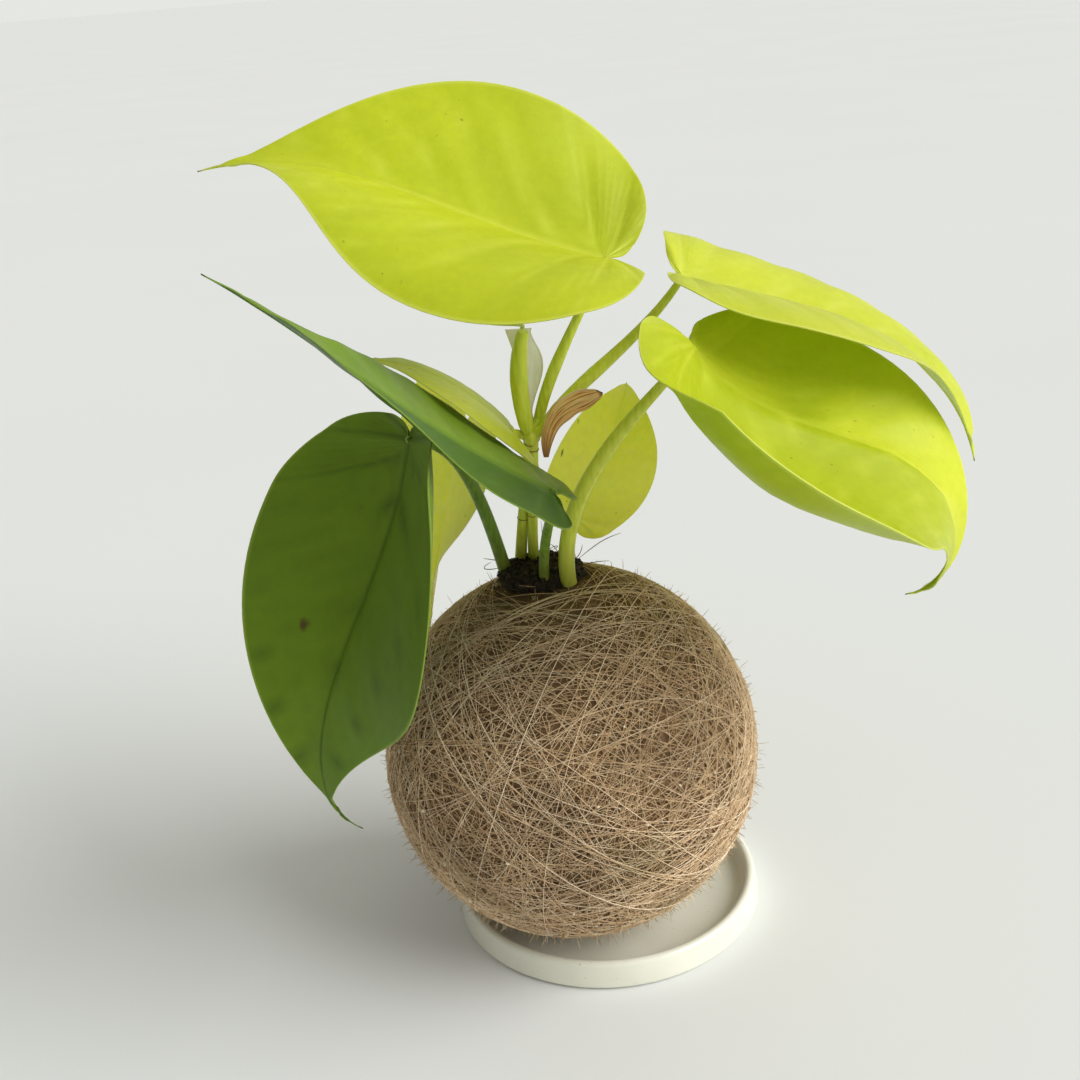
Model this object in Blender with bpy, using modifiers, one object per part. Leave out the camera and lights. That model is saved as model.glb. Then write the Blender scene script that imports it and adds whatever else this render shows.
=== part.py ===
"""Kokedama: a trailing heart-leaf plant in a coir ball wound with twine, standing in a shallow glazed saucer.

The script builds every piece of the plant and its dish as a closed solid. Units are metres in Blender;
the named sizes below are in millimetres and MM converts them. The origin is the centre of the saucer's foot,
Z is up, and the fronts of most leaves look towards -Y.
"""
import math

import bmesh
import bpy
import numpy as np

MM = 0.001

# ---- saucer ----
FOOT_RADIUS = 46.4
OUTER_RADIUS = 47.6
RIM_OUTER = 46.6
RIM_INNER = 44.3
WELL_RADIUS = 42.9
SAUCER_HEIGHT = 8.6
FLOOR_TOP = 2.4
SAUCER_SIDES = 64

# ---- root ball ----
BALL_RADIUS = 55.0
BALL_CENTRE = (-8.4, -5.2, 57.5)
SEAT_GAP = 0.3
BALL_SIDES = 36
BALL_RINGS = 20

# ---- twine and soil ----
TWINE_RADIUS = 0.45
TWINE_STANDOFF = 0.8
TWINE_TURNS = 7
TWINE_LEAN = (22, 44)
TWINE_SPREAD = 0.38
TWINE_STEPS = 32
TWINE_CORNERS = 3
SOIL_CENTRE = (-13.0, 1.0, 111.5)
SOIL_SIZE = (16.5, 16.5, 5.0)
SOIL_CLEARANCE = 0.4

# ---- leaves ----
BLADE_THICKNESS = 0.5
OUTLINE_STEPS = 4
BLADE_ROWS = 3
MIDRIB_STEPS = 40
LOBE_REACH = 0.35
STALK_SIDES = 8
STALK_STEPS = 9

# Each leaf is described the way a botanist would: where its stalk joins, which way the midrib leaves
# (heading and pitch in degrees, roll about itself), its length, and then ratios of that length.
# droop, sway and twist say how the midrib bends down, sideways and about itself from base to tip;
# fold is how far each half rises from the midrib at the base and at the tip, cup how it then curves.
LEAVES = {
    "upper_leaf": dict(
        joint=(10.6, -9.3, 205.0), length=113.7,
        heading=168.6, pitch=15.8, roll=-9.7,
        half_width=(0.410, 0.377), lobe=(0.104, 0.063), lobe_out=0.150,
        widest=0.263, neck=(0.865, 0.046), lobe_lift=-0.39,
        droop=(-0.51, 0.69, 1.94), sway=(-0.39, 1.21), twist=(-0.42, 1.07),
        fold_left=(0.47, 0.27), fold_right=(0.42, 0.69), cup=(-2.65, 0.51)),
    "right_upper_leaf": dict(
        joint=(32.5, 7.1, 195.1), length=104.8,
        heading=2.8, pitch=-18.9, roll=1.9,
        half_width=(0.418, 0.347), lobe=(0.047, 0.067), lobe_out=0.166,
        widest=0.259, neck=(0.914, 0.042), lobe_lift=-0.04,
        droop=(-0.24, 1.66, 1.67), sway=(0.13, -1.62), twist=(-0.12, 0.24),
        fold_left=(0.76, 0.47), fold_right=(0.27, 0.24), cup=(-3.52, -1.54)),
    "right_lower_leaf": dict(
        joint=(31.1, -23.3, 182.9), length=117.2,
        heading=-0.1, pitch=-56.6, roll=-11.7,
        half_width=(0.304, 0.585), lobe=(0.011, 0.153), lobe_out=0.091,
        widest=0.219, neck=(0.905, 0.057), lobe_lift=2.51,
        droop=(-2.42, 1.88, 11.30), sway=(-0.06, -0.51), twist=(0.91, -2.08),
        fold_left=(0.44, 0.65), fold_right=(-0.92, -0.66), cup=(1.54, 2.72)),
    "left_hanging_leaf": dict(
        joint=(-44.8, -25.8, 165.5), length=120.8,
        heading=-121.4, pitch=-68.5, roll=41.5,
        half_width=(0.394, 0.345), lobe=(0.041, 0.053), lobe_out=0.100,
        widest=0.204, neck=(0.842, 0.023), lobe_lift=0.56,
        droop=(-1.03, 0.50, 5.94), sway=(-0.55, 0.93), twist=(-0.05, -1.18),
        fold_left=(-0.12, -0.78), fold_right=(0.52, 0.87), cup=(1.51, 1.15)),
    "inner_hanging_leaf": dict(
        joint=(-31.7, 21.8, 153.7), length=71.0,
        heading=144.8, pitch=-69.3, roll=-78.3,
        half_width=(0.349, 0.343), lobe=(0.123, 0.140), lobe_out=0.181,
        widest=0.290, neck=(0.842, 0.043), lobe_lift=0.30,
        droop=(-0.32, 0.07, -0.04), sway=(0.28, 0.53), twist=(0.08, 0.36),
        fold_left=(0.34, 1.01), fold_right=(0.21, 0.26), cup=(0.05, -0.29)),
    "front_folded_leaf": dict(
        joint=(-8.0, -40.2, 152.9), length=102.4,
        heading=-165.2, pitch=33.5, roll=-20.7,
        half_width=(0.205, 0.210), lobe=(0.026, 0.104), lobe_out=0.130,
        widest=0.273, neck=(0.826, 0.168), lobe_lift=0.76,
        droop=(-0.40, -0.42, 1.82), sway=(0.00, -0.27), twist=(-0.04, 1.15),
        fold_left=(0.07, 0.39), fold_right=(-0.33, 0.35), cup=(0.57, -0.06)),
    "young_left_leaf": dict(
        joint=(-18.2, -7.6, 159.8), length=50.1,
        heading=-140.9, pitch=49.9, roll=-28.9,
        half_width=(0.342, 0.344), lobe=(0.140, 0.094), lobe_out=0.211,
        widest=0.314, neck=(0.893, 0.052), lobe_lift=0.26,
        droop=(0.34, 0.64, 0.29), sway=(-0.11, 0.10), twist=(0.10, 0.05),
        fold_left=(0.11, 0.00), fold_right=(0.09, -0.16), cup=(-0.54, -1.41)),
    "back_upright_leaf": dict(
        joint=(-1.4, 15.0, 123.8), length=48.4,
        heading=-6.1, pitch=60.2, roll=101.7,
        half_width=(0.324, 0.344), lobe=(0.099, 0.111), lobe_out=0.132,
        widest=0.308, neck=(0.914, 0.052), lobe_lift=0.27,
        droop=(0.47, 1.39, 0.87), sway=(0.03, 0.04), twist=(-0.24, -0.14),
        fold_left=(0.23, 0.60), fold_right=(-0.14, 0.63), cup=(-0.07, -0.35)),
}

# Stalks and stems are curves with four control points. A stalk's last one is its leaf's joint, so only
# three are given here, then the radius at its foot, middle and end.
STALKS = {
    "stalk_upper": ((-9.9, -2.2, 161.4), (-6.5, -5.5, 174.0), (-2.5, -8.0, 181.0), (1.5, 1.7, 0.9)),
    "stalk_right_upper": ((-8.6, -5.8, 159.6), (-1.5, -2.5, 169.5), (19.0, 2.0, 178.0), (1.5, 1.9, 1.0)),
    "stalk_right_lower": ((-5.4, -8.9, 113.2), (-8.6, -13.0, 146.1), (20.5, -18.5, 168.0), (2.4, 2.0, 1.0)),
    "stalk_left_hanging": ((-23.0, 3.1, 110.9), (-29.4, -5.2, 150.0), (-34.0, -12.0, 158.7), (2.0, 1.7, 0.9)),
    "stalk_front_folded": ((-12.3, -7.5, 113.1), (-12.3, -11.4, 129.9), (-8.4, -22.0, 138.5), (1.5, 1.4, 0.8)),
    "stalk_back_upright": ((-3.4, 9.9, 111.6), (-4.7, 11.6, 114.6), (-3.1, 13.3, 119.6), (1.5, 1.3, 0.8)),
    "stalk_young_left": ((-15.6, -4.6, 157.4), (-16.0, -4.4, 157.6), (-17.2, -5.4, 158.2), (1.2, 1.2, 0.8)),
    "stalk_inner_hanging": ((-15.9, 1.4, 147.6), (-19.0, 9.0, 146.3), (-28.4, 16.0, 144.0), (1.3, 1.3, 0.8)),
}
STEMS = {
    "left": ((-19.1, 7.0, 111.6), (-18.2, 3.0, 121.7), (-14.8, -1.0, 147.4), (-12.7, -5.0, 156.9), (1.9, 1.5, 1.7)),
    "right": ((-14.3, 6.0, 112.4), (-15.9, 2.3, 115.5), (-13.3, -1.3, 139.7), (-12.4, -4.2, 155.0), (1.7, 1.5, 1.7)),
}
SHOOT = ((-13.9, -5.2, 160.6), (-15.4, -6.3, 173.0), (-14.7, -7.7, 179.8), (-12.5, -9.0, 187.5), (1.4, 2.1, 1.4))
TENDRIL = ((-12.8, -9.3, 188.3), (-9.6, -10.7, 191.0), (-25.6, -12.3, 188.9), (-25.2, -14.0, 195.4), (0.5, 0.42, 0.35))
HUSK = ((-9.0, -8.8, 151.6), (-8.2, -9.2, 168.6), (5.6, -9.4, 166.3), (7.0, -9.6, 169.3))
NODE_CENTRE = (-12.6, -4.8, 156.6)
NODE_RADIUS = 2.5
LEAF_OF_STALK = {
    "stalk_upper": "upper_leaf",
    "stalk_right_upper": "right_upper_leaf",
    "stalk_right_lower": "right_lower_leaf",
    "stalk_left_hanging": "left_hanging_leaf",
    "stalk_front_folded": "front_folded_leaf",
    "stalk_back_upright": "back_upright_leaf",
    "stalk_young_left": "young_left_leaf",
    "stalk_inner_hanging": "inner_hanging_leaf",
}

# How far short of its joint a stalk stops, where the blade's own lobes need more room than usual.
USUAL_STOP = 1.4
STALK_STOP = {
    "stalk_upper": 1.0,
    "stalk_front_folded": 1.9,
    "stalk_back_upright": 2.1,
    "stalk_young_left": 3.1,
    "stalk_inner_hanging": 3.7,
}
LIME = {"upper_leaf", "right_upper_leaf", "right_lower_leaf", "young_left_leaf", "inner_hanging_leaf",
        "back_upright_leaf"}

# The fresh sheath stands this far behind the shoot; widths are measured out from the shoot's middle.
SHEATH_BEHIND = 2.9
SHEATH_COLUMNS = 4
SHEATH_THICKNESS = 0.3
WING_FOOT, WING_SPREAD = 2.4, 4.4
STRIP_FOOT, STRIP_SPREAD, STRIP_START = 1.2, 3.6, 0.66
SHEATH_BOW = 0.03
HUSK_FOOT, HUSK_SPREAD = 0.5, 2.3
HUSK_CURL = 80
HUSK_DEPTH = 0.6
HUSK_THICKNESS = 0.35

COLOURS = {
    "saucer": (0.80, 0.80, 0.74, 1.0),
    "root_ball": (0.34, 0.23, 0.13, 1.0),
    "twine": (0.62, 0.46, 0.30, 1.0),
    "soil": (0.035, 0.025, 0.018, 1.0),
    "lime_leaf": (0.46, 0.58, 0.04, 1.0),
    "green_leaf": (0.07, 0.19, 0.02, 1.0),
    "lime_stalk": (0.42, 0.52, 0.08, 1.0),
    "green_stalk": (0.10, 0.22, 0.05, 1.0),
    "fresh_sheath": (0.70, 0.78, 0.50, 1.0),
    "dry_sheath": (0.45, 0.22, 0.07, 1.0),
}
ROUGHNESS = {"saucer": 0.25, "root_ball": 0.95, "twine": 0.9, "soil": 0.95, "dry_sheath": 0.8}


def clear_scene():
    """Start from nothing, without closing the file the script runs from."""
    for item in list(bpy.data.objects):
        bpy.data.objects.remove(item, do_unlink=True)


def material(name):
    """A plain coloured material for one kind of surface."""
    made = bpy.data.materials.get(name)
    if made is None:
        made = bpy.data.materials.new(name)
        made.use_nodes = True
        shader = made.node_tree.nodes["Principled BSDF"]
        shader.inputs["Base Color"].default_value = COLOURS[name]
        shader.inputs["Roughness"].default_value = ROUGHNESS.get(name, 0.45)
        made.diffuse_color = COLOURS[name]
    return made


def add_mesh(name, points, faces, kind):
    """Make a mesh object from points in millimetres, drop doubled points and turn its faces outward."""
    mesh = bpy.data.meshes.new(name)
    mesh.from_pydata([tuple(float(c) * MM for c in p) for p in points], [], faces)
    shape = bmesh.new()
    shape.from_mesh(mesh)
    bmesh.ops.remove_doubles(shape, verts=shape.verts, dist=1e-7)
    bmesh.ops.dissolve_degenerate(shape, edges=shape.edges, dist=1e-7)
    bmesh.ops.recalc_face_normals(shape, faces=shape.faces)
    shape.to_mesh(mesh)
    shape.free()
    made = bpy.data.objects.new(name, mesh)
    bpy.context.scene.collection.objects.link(made)
    mesh.materials.append(material(kind))
    return made


def apply_modifiers(target):
    """Replace an object's mesh with the result of its modifiers."""
    graph = bpy.context.evaluated_depsgraph_get()
    result = bpy.data.meshes.new_from_object(target.evaluated_get(graph))
    target.modifiers.clear()
    target.data = result


def combine(target, other, operation):
    """Join or cut with an exact boolean and remove the second shape."""
    step = target.modifiers.new(operation.lower(), "BOOLEAN")
    step.operation = operation
    step.solver = "EXACT"
    step.object = other
    apply_modifiers(target)
    bpy.data.objects.remove(other, do_unlink=True)


def lathe(name, profile, sides, kind):
    """Turn a profile of (radius, height) points round the Z axis; its ends lie on the axis."""
    points = []
    rows = []
    for radius, height in profile:
        if radius == 0.0:
            rows.append([len(points)] * sides)
            points.append((0.0, 0.0, height))
            continue
        row = []
        for step in range(sides):
            angle = 2 * math.pi * step / sides
            row.append(len(points))
            points.append((radius * math.cos(angle), radius * math.sin(angle), height))
        rows.append(row)
    faces = []
    for low, high in zip(rows, rows[1:]):
        for step in range(sides):
            after = (step + 1) % sides
            corners = []
            for index in (low[step], low[after], high[after], high[step]):
                if index not in corners:
                    corners.append(index)
            faces.append(corners)
    return add_mesh(name, points, faces, kind)


def make_saucer():
    """A shallow dish with a flat foot, a nearly upright wall and a rounded rim."""
    profile = [
        (0.0, 0.0),
        (FOOT_RADIUS, 0.0),
        (OUTER_RADIUS, 1.3),
        (OUTER_RADIUS - 0.2, SAUCER_HEIGHT - 2.2),
        (RIM_OUTER, SAUCER_HEIGHT - 0.5),
        (0.5 * (RIM_OUTER + RIM_INNER), SAUCER_HEIGHT),
        (RIM_INNER, SAUCER_HEIGHT - 0.7),
        (RIM_INNER - 0.5, FLOOR_TOP + 1.2),
        (WELL_RADIUS, FLOOR_TOP),
        (0.0, FLOOR_TOP),
    ]
    return lathe("saucer", profile, SAUCER_SIDES, "saucer")


def make_ball(name, radius, kind):
    """A round ball, pressed flat where it sits on the saucer's floor."""
    cx, cy, cz = BALL_CENTRE
    profile = []
    for step in range(BALL_RINGS + 1):
        angle = math.pi * step / BALL_RINGS
        across = 0.0 if step in (0, BALL_RINGS) else radius * math.sin(angle)
        profile.append((across, -radius * math.cos(angle)))
    ball = lathe(name, profile, BALL_SIDES, kind)
    for vertex in ball.data.vertices:
        vertex.co.x += cx * MM
        vertex.co.y += cy * MM
        vertex.co.z = max(vertex.co.z + cz * MM, (FLOOR_TOP + SEAT_GAP) * MM)
    return ball


def unit(vector):
    """A vector of length one."""
    vector = np.array(vector, float)
    return vector / np.linalg.norm(vector)


def make_twine():
    """Turns of twine round the ball, each a ring about the middle, all meeting where they cross."""
    pole = unit(np.array(SOIL_CENTRE) - np.array(BALL_CENTRE))
    side = unit(np.cross(pole, (0.0, 1.0, 0.0)))
    other = np.cross(pole, side)
    ring_radius = BALL_RADIUS + TWINE_STANDOFF
    joined = None
    for turn in range(TWINE_TURNS):
        lean = math.radians(TWINE_LEAN[0] + TWINE_LEAN[1] * ((turn * TWINE_SPREAD) % 1.0))
        spin = 2 * math.pi * turn / TWINE_TURNS
        axis = pole * math.cos(lean) + (side * math.cos(spin) + other * math.sin(spin)) * math.sin(lean)
        first = unit(np.cross(axis, (1.0, 0.2, 0.1)))
        second = np.cross(axis, first)
        points = []
        faces = []
        steps, corners = TWINE_STEPS, TWINE_CORNERS
        for i in range(steps):
            angle = 2 * math.pi * i / steps
            outward = first * math.cos(angle) + second * math.sin(angle)
            for j in range(corners):
                around = 2 * math.pi * j / corners
                reach = ring_radius + TWINE_RADIUS * math.cos(around)
                points.append(np.array(BALL_CENTRE) + outward * reach + axis * TWINE_RADIUS * math.sin(around))
                ahead, beside = (i + 1) % steps, (j + 1) % corners
                faces.append((i * corners + j, i * corners + beside, ahead * corners + beside, ahead * corners + j))
        ring = add_mesh("twine_ring", points, faces, "twine")
        if joined is None:
            joined = ring
            joined.name = "twine_wrap"
        else:
            combine(joined, ring, "UNION")
    return joined


def bezier(controls, steps):
    """Points along a cubic curve."""
    a, b, c, d = [np.array(p, float) for p in controls]
    t = np.linspace(0.0, 1.0, steps)[:, None]
    return (1 - t) ** 3 * a + 3 * (1 - t) ** 2 * t * b + 3 * (1 - t) * t * t * c + t ** 3 * d


def make_tube(name, path, radii, kind, sides=STALK_SIDES):
    """A round stalk along a path, closed with a flat disc at each end."""
    count = len(path)
    along = np.gradient(path, axis=0)
    guide = unit(np.cross(along[0], (0.31, 0.9, 0.2)))
    points = []
    for i in range(count):
        forward = unit(along[i])
        guide = unit(guide - forward * np.dot(guide, forward))
        across = np.cross(forward, guide)
        radius = np.interp(i / (count - 1), (0.0, 0.5, 1.0), radii)
        for j in range(sides):
            angle = 2 * math.pi * j / sides
            points.append(path[i] + radius * (guide * math.cos(angle) + across * math.sin(angle)))
    faces = [tuple(reversed(range(sides))), tuple(range((count - 1) * sides, count * sides))]
    for i in range(count - 1):
        for j in range(sides):
            beside = (j + 1) % sides
            faces.append((i * sides + j, i * sides + beside, (i + 1) * sides + beside, (i + 1) * sides + j))
    return add_mesh(name, points, faces, kind)


def half_outline(lobe, lobe_out, wide, widest, neck, steps=OUTLINE_STEPS):
    """One half of a heart outline for a leaf 1 long: from the stalk, round the lobe, to the drawn-out tip."""
    neck_x, neck_y = neck
    run = neck_x - widest
    tail = 1.0 - neck_x
    fall = 0.385 * (wide - neck_y) * 0.33 * tail / (0.36 * run) * 1.2
    pieces = [
        ((0.0, 0.0), (-0.55 * lobe, 0.02), (-lobe, 0.35 * lobe_out), (-lobe, lobe_out)),
        ((-lobe, lobe_out), (-lobe, lobe_out + 0.6 * (wide - lobe_out)),
         (widest - 0.62 * (widest + lobe), wide), (widest, wide)),
        ((widest, wide), (widest + 0.52 * run, wide),
         (neck_x - 0.36 * run, neck_y + 0.42 * (wide - neck_y)), (neck_x, neck_y)),
        ((neck_x, neck_y), (neck_x + 0.33 * tail, neck_y - fall), (1.0 - 0.35 * tail, 0.006), (1.0, 0.0)),
    ]
    rows = [bezier(piece, steps + 1)[:-1] for piece in pieces]
    outline = np.vstack(rows + [np.array([[1.0, 0.0]])])
    outline[:, 1] = np.maximum(outline[:, 1], 0.0)
    return outline


def turned(vector, axis, angle):
    """A vector turned about an axis."""
    return (vector * math.cos(angle) + np.cross(axis, vector) * math.sin(angle)
            + axis * np.dot(axis, vector) * (1 - math.cos(angle)))


def midrib(leaf):
    """Walk along a leaf's midrib: distances, places and the forward, left and up directions there."""
    heading, pitch, roll = [math.radians(leaf[key]) for key in ("heading", "pitch", "roll")]
    forward = np.array([math.cos(pitch) * math.cos(heading), math.cos(pitch) * math.sin(heading), math.sin(pitch)])
    up = np.array([-math.sin(pitch) * math.cos(heading), -math.sin(pitch) * math.sin(heading), math.cos(pitch)])
    up = turned(up, forward, roll)
    left = np.cross(up, forward)
    step = 1.0 / MIDRIB_STEPS

    def advance(forward, left, up, down, across, about):
        ahead = unit(forward - up * down + left * across)
        above = unit(up - ahead * np.dot(up, ahead))
        above = turned(above, ahead, about)
        return ahead, np.cross(above, ahead), above

    start = (forward, left, up)
    place = np.array(leaf["joint"], float)
    stations = [(0.0, place, start)]
    frame = start
    for i in range(MIDRIB_STEPS):
        x = (i + 0.5) * step
        down = sum(k * x ** n for n, k in enumerate(leaf["droop"])) * step
        across = sum(k * x ** n for n, k in enumerate(leaf["sway"])) * step
        about = sum(k * x ** n for n, k in enumerate(leaf["twist"])) * step
        after = advance(*frame, down, across, about)
        place = place + (frame[0] + after[0]) * 0.5 * step * leaf["length"]
        frame = after
        stations.append(((i + 1) * step, place, frame))
    behind = []
    place = np.array(leaf["joint"], float)
    frame = start
    for i in range(int(round(LOBE_REACH / step))):
        after = advance(*frame, -leaf["lobe_lift"] * step, 0.0, 0.0)
        place = place - (frame[0] + after[0]) * 0.5 * step * leaf["length"]
        frame = after
        behind.append((-(i + 1) * step, place, frame))
    return behind[::-1] + stations


def on_blade(leaf, stations, x, y, side):
    """The point of the blade x along the midrib and y out from it, both in leaf lengths."""
    xs = [s[0] for s in stations]
    place = np.array([np.interp(x, xs, [s[1][i] for s in stations]) for i in range(3)])
    left, up = [np.array([np.interp(x, xs, [s[2][k][i] for s in stations]) for i in range(3)]) for k in (1, 2)]
    base, end = leaf["fold_left"] if side > 0 else leaf["fold_right"]
    cup = leaf["cup"][0] if side > 0 else leaf["cup"][1]
    t = min(max(x, 0.0), 1.0)
    fold = base * (1 - t) + end * t
    out = (math.sin(fold + cup * y) - math.sin(fold)) / cup
    rise = (math.cos(fold) - math.cos(fold + cup * y)) / cup
    return place + leaf["length"] * (side * left * out + up * rise)


def make_blade(name, leaf, kind):
    """A thin heart-shaped blade: rows of points fan out from the midrib, then Solidify gives it thickness."""
    stations = midrib(leaf)
    halves = []
    for index in (0, 1):
        halves.append(half_outline(leaf["lobe"][index], leaf["lobe_out"], leaf["half_width"][index],
                                   leaf["widest"], leaf["neck"]))
    mean = 0.5 * (halves[0] + halves[1])
    anchors = np.maximum(0.0, mean[:, 0] - 0.75 * mean[:, 1])
    anchors[-1] = 1.0
    points = []
    faces = []
    for index, side in ((0, 1), (1, -1)):
        first = len(points)
        for (x, y), anchor in zip(halves[index], anchors):
            for row in range(BLADE_ROWS + 1):
                share = row / BLADE_ROWS
                points.append(on_blade(leaf, stations, anchor + (x - anchor) * share, y * share, side))
        wide = BLADE_ROWS + 1
        for i in range(len(anchors) - 1):
            for row in range(BLADE_ROWS):
                a = first + i * wide + row
                corners = (a, a + 1, a + wide + 1, a + wide)
                faces.append(corners if side > 0 else corners[::-1])
    blade = add_mesh(name, points, faces, kind)
    thicken(blade, BLADE_THICKNESS)
    return blade


def thicken(sheet, thickness):
    """Give a sheet an even thickness about its middle."""
    step = sheet.modifiers.new("thickness", "SOLIDIFY")
    step.thickness = thickness * MM
    step.offset = 0.0
    step.use_quality_normals = True
    apply_modifiers(sheet)


def stalk_path(name):
    """The curve of a stalk, stopped just short of the blade it carries."""
    *controls, radii = STALKS[name]
    controls.append(LEAVES[LEAF_OF_STALK[name]]["joint"])
    path = bezier(controls, 200)
    lengths = np.concatenate([[0.0], np.cumsum(np.linalg.norm(np.diff(path, axis=0), axis=1))])
    stop = lengths[-1] - STALK_STOP.get(name, USUAL_STOP)
    wanted = np.linspace(0.0, stop, STALK_STEPS if stop > 12 else 4)
    return np.stack([np.interp(wanted, lengths, path[:, i]) for i in range(3)], -1), radii


def make_soil(cutters):
    """The mound of potting soil at the ball's crown, cut clear of the ball and of what grows through it."""
    profile = []
    for step in range(9):
        angle = math.pi * step / 8
        across = 0.0 if step in (0, 8) else math.sin(angle)
        profile.append((across, -math.cos(angle)))
    mound = lathe("potting_soil", profile, 24, "soil")
    for vertex in mound.data.vertices:
        vertex.co = [(SOIL_CENTRE[i] + vertex.co[i] / MM * SOIL_SIZE[i]) * MM for i in range(3)]
    combine(mound, make_ball("ball_cutter", BALL_RADIUS + SEAT_GAP, "soil"), "DIFFERENCE")
    for path, radii in cutters:
        wider = [r + SOIL_CLEARANCE for r in radii]
        longer = np.vstack([path[:1] - (path[1:2] - path[:1]) * 0.4, path])
        combine(mound, make_tube("stalk_cutter", longer, wider, "soil"), "DIFFERENCE")
    return mound


def strip_faces(row, columns):
    """The faces between one row of points and the row before it."""
    first = (row - 1) * (columns + 1)
    return [(a, a + 1, a + columns + 2, a + columns + 1) for a in range(first, first + columns)]


def make_fresh_sheath():
    """The thin papery sheath beside the new shoot: a tall wing on its right and a torn strip on its left."""
    path = bezier(SHOOT[:4], 15)
    points = []
    faces = []
    for i, place in enumerate(path):
        u = i / (len(path) - 1)
        right = WING_FOOT + WING_SPREAD * math.sin(math.pi * min(1.0, max(0.0, (u - 0.06) / 0.9))) ** 1.3
        left = -STRIP_FOOT - STRIP_SPREAD * max(0.0, (u - STRIP_START) / (1 - STRIP_START)) ** 1.2
        for j in range(SHEATH_COLUMNS + 1):
            across = left + (right - left) * j / SHEATH_COLUMNS
            points.append(place + np.array([across, SHEATH_BEHIND + SHEATH_BOW * across * across, 0.0]))
        if i:
            faces.extend(strip_faces(i, SHEATH_COLUMNS))
    sheath = add_mesh("fresh_sheath", points, faces, "fresh_sheath")
    thicken(sheath, SHEATH_THICKNESS)
    return sheath


def make_dry_sheath():
    """A dead brown sheath leaf, arched over to the right and curled into a trough."""
    path = bezier(HUSK, 13)
    along = np.gradient(path, axis=0)
    points = []
    faces = []
    for i, place in enumerate(path):
        u = i / (len(path) - 1)
        forward = unit(along[i])
        across = unit(np.cross(forward, (0.0, -1.0, 0.0)))
        half = HUSK_FOOT + HUSK_SPREAD * math.sin(math.pi * min(1.0, 0.12 + 0.83 * u)) ** 0.8
        for j in range(SHEATH_COLUMNS + 1):
            angle = math.radians(HUSK_CURL * (2 * j / SHEATH_COLUMNS - 1))
            bow = np.array([0.0, 1.0, 0.0]) * half * HUSK_DEPTH * (1 - math.cos(angle))
            points.append(place + across * half * math.sin(angle) + bow)
        if i:
            faces.extend(strip_faces(i, SHEATH_COLUMNS))
    husk = add_mesh("dry_sheath", points, faces, "dry_sheath")
    thicken(husk, HUSK_THICKNESS)
    return husk


def main():
    """Build every piece."""
    clear_scene()
    make_saucer()
    make_ball("root_ball", BALL_RADIUS, "root_ball")
    make_twine()
    for name, leaf in LEAVES.items():
        make_blade(name, leaf, "lime_leaf" if name in LIME else "green_leaf")
    rooted = []
    for name in STALKS:
        path, radii = stalk_path(name)
        kind = "lime_stalk" if LEAF_OF_STALK[name] in LIME else "green_stalk"
        make_tube(name, path, radii, kind)
        if path[0][2] < SOIL_CENTRE[2] + SOIL_SIZE[2]:
            rooted.append((path, radii))
    stem = None
    for *controls, radii in STEMS.values():
        path = bezier(controls, STALK_STEPS)
        rooted.append((path, radii))
        piece = make_tube("vine_stem", path, radii, "lime_stalk")
        if stem is None:
            stem = piece
        else:
            combine(stem, piece, "UNION")
    bpy.ops.mesh.primitive_uv_sphere_add(segments=12, ring_count=8, radius=NODE_RADIUS * MM,
                                         location=[c * MM for c in NODE_CENTRE])
    knuckle = bpy.context.object
    knuckle.data.materials.append(material("lime_stalk"))
    combine(stem, knuckle, "UNION")
    stem.name = "vine_stem"
    make_soil(rooted)
    make_tube("new_shoot", bezier(SHOOT[:4], STALK_STEPS), SHOOT[4], "lime_stalk")
    make_tube("shoot_tendril", bezier(TENDRIL[:4], 12), TENDRIL[4], "lime_stalk", sides=5)
    make_fresh_sheath()
    make_dry_sheath()


main()
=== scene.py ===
# %% [markdown]
# # A heart-leaf plant in a fibre ball
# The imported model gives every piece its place. This lesson keeps those places and gives each piece the
# finish of the real thing: veined leaves, a ball of coconut fibre wound with thread, a glazed saucer.

# %% Load the frame
import math

import bmesh
import bpy
import numpy as np
from mathutils import Matrix, Vector, noise as field


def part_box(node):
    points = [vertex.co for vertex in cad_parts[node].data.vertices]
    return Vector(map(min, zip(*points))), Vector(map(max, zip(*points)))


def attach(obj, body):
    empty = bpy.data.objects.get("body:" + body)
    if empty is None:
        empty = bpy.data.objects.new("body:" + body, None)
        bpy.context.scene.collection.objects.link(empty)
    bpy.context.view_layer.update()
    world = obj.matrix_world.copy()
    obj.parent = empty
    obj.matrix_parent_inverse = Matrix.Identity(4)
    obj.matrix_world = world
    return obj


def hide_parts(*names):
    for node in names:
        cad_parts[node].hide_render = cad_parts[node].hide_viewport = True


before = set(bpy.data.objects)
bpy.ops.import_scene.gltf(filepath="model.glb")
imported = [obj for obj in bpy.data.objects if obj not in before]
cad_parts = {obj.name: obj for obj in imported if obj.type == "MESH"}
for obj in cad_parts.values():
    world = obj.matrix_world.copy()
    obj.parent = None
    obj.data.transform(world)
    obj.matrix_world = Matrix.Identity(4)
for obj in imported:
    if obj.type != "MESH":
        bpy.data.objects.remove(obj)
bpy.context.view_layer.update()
MM = 0.001
BODY = "root"
print("frame nodes:", len(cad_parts))

# %% [markdown]
# The main sizes are read from the frame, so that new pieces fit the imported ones. The saucer stands on the
# origin, and the ball's middle and radius follow from its box, because only its foot is pressed flat.

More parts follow.
